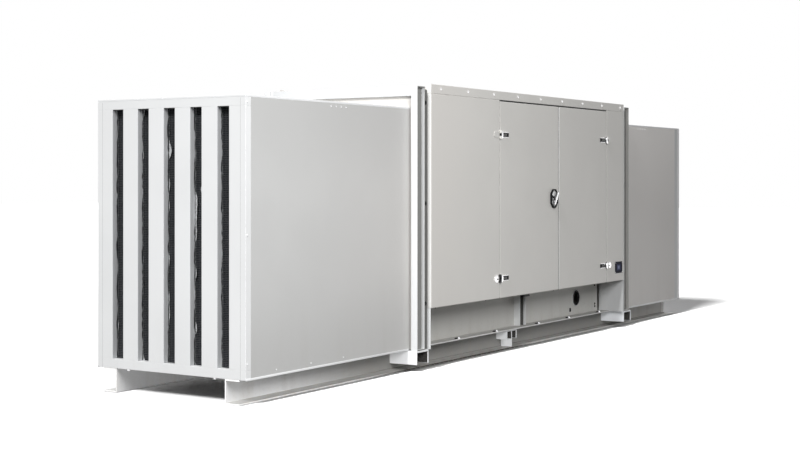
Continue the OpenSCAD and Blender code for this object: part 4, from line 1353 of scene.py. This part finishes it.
# %% Batteries
deck_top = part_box("deck_plate")[1].z
case_top = deck_top + 0.222
cases, fittings = meshes(2)
for x in (1.380, 1.740):
    add_box(cases, (x, 0.220, deck_top + 0.010), (x + 0.330, 0.440, deck_top + 0.210))
    add_box(cases, (x - 0.004, 0.216, deck_top + 0.195), (x + 0.334, 0.444, case_top))
    for dx in (0.050, 0.280):
        add_bar(fittings, (x + dx, 0.270, case_top), (x + dx, 0.270, deck_top + 0.245), 0.010, 16)
    for dx in [0.040 + i * 0.050 for i in range(6)]:
        add_bar(cases, (x + dx, 0.370, case_top), (x + dx, 0.370, case_top + 0.008), 0.015, 16)
add_box(fittings, (1.360, 0.320, case_top), (2.090, 0.342, case_top + 0.008))
for x in (1.368, 2.082):
    add_bar(fittings, (x, 0.331, deck_top), (x, 0.331, deck_top + 0.245), 0.005, 10)
add_box(fittings, (1.350, 0.200, deck_top), (2.100, 0.460, deck_top + 0.010))
make_piece("batteries", cases, machine_black, soften=0.004)
make_piece("battery_fittings", fittings, bright_metal)

# %% Roof foam
ceiling = bmesh.new()
foam_x0, foam_x1, foam_y = roof_low.x + 0.130, roof_high.x - 0.130, 0.690
width, depth = (foam_x1 - foam_x0) / 13, 2 * foam_y / 4
for x in spread(foam_x0, foam_x1, 13):
    for y in spread(-foam_y, foam_y, 4):
        add_box(ceiling, (x - width / 2, y - depth / 2, roof_low.z - foam_depth),
                (x + width / 2, y + depth / 2, roof_low.z))
make_piece("roof_foam", ceiling, lining_board, soften=0.012, segments=3)

# %% [markdown]
# ## Roof
# Nobody sees the roof from the ground, but cranes lift the set from it. Cap
# strips cover the seams between the sheets, and screws hold the sheets. Sockets
# for the lifting eyes stand at the corners. The hoods' roofs have strips too.

# %% Roof seams, screws and lifting sockets
caps, roof_screws, sockets, socket_holes = meshes(4)
for i in (1, 2):
    x = roof_low.x + i * (roof_high.x - roof_low.x) / 3
    add_box(caps, (x - 0.030, roof_low.y + 0.004, roof_high.z),
            (x + 0.030, roof_high.y - 0.004, roof_high.z + 0.004))
for i in range(13):
    x = roof_low.x + 0.060 + i * (roof_high.x - roof_low.x - 0.120) / 12
    add_bolts(roof_screws, [(x, y, roof_high.z) for y in (-0.730, 0.730)], skyward, 0.007, 0.005)
for end in sides:
    for i in range(3):
        x, z = end * (hood_high.x - 0.060 - i * 0.760), hood_high.z + 0.003
        add_box(caps, (x - 0.025, -hood_y + 0.010, hood_high.z), (x + 0.025, hood_y - 0.010, z))
        row = [(x, -0.600 + j * 0.240, z) for j in range(6)]
        add_bolts(roof_screws, row, skyward, 0.006, 0.004)
up = Vector(skyward)
for x in (roof_low.x + 0.350, roof_high.x - 0.350):
    for y in (-0.560, 0.560):
        at = Vector((x, y, roof_high.z))
        add_box(sockets, at - Vector((0.080, 0.080, 0)), at + Vector((0.080, 0.080, 0.006)))
        add_bar(sockets, at, at + up * 0.024, 0.048, 32, 0.044)
        add_bar(socket_holes, at + up * 0.020, at + up * 0.0245, 0.026, 24)
        corners = [at + Vector((dx, dy, 0.006)) for dx in (-0.062, 0.062) for dy in (-0.062, 0.062)]
        add_bolts(sockets, corners, up, 0.008, 0.007)
make_piece("lifting_sockets", sockets, frame_white, soften=0.0012)
make_piece("socket_holes", socket_holes, black_metal)
make_piece("roof_caps", caps, canopy_grey, soften=0.0012)
make_piece("roof_screws", roof_screws, bright_metal)
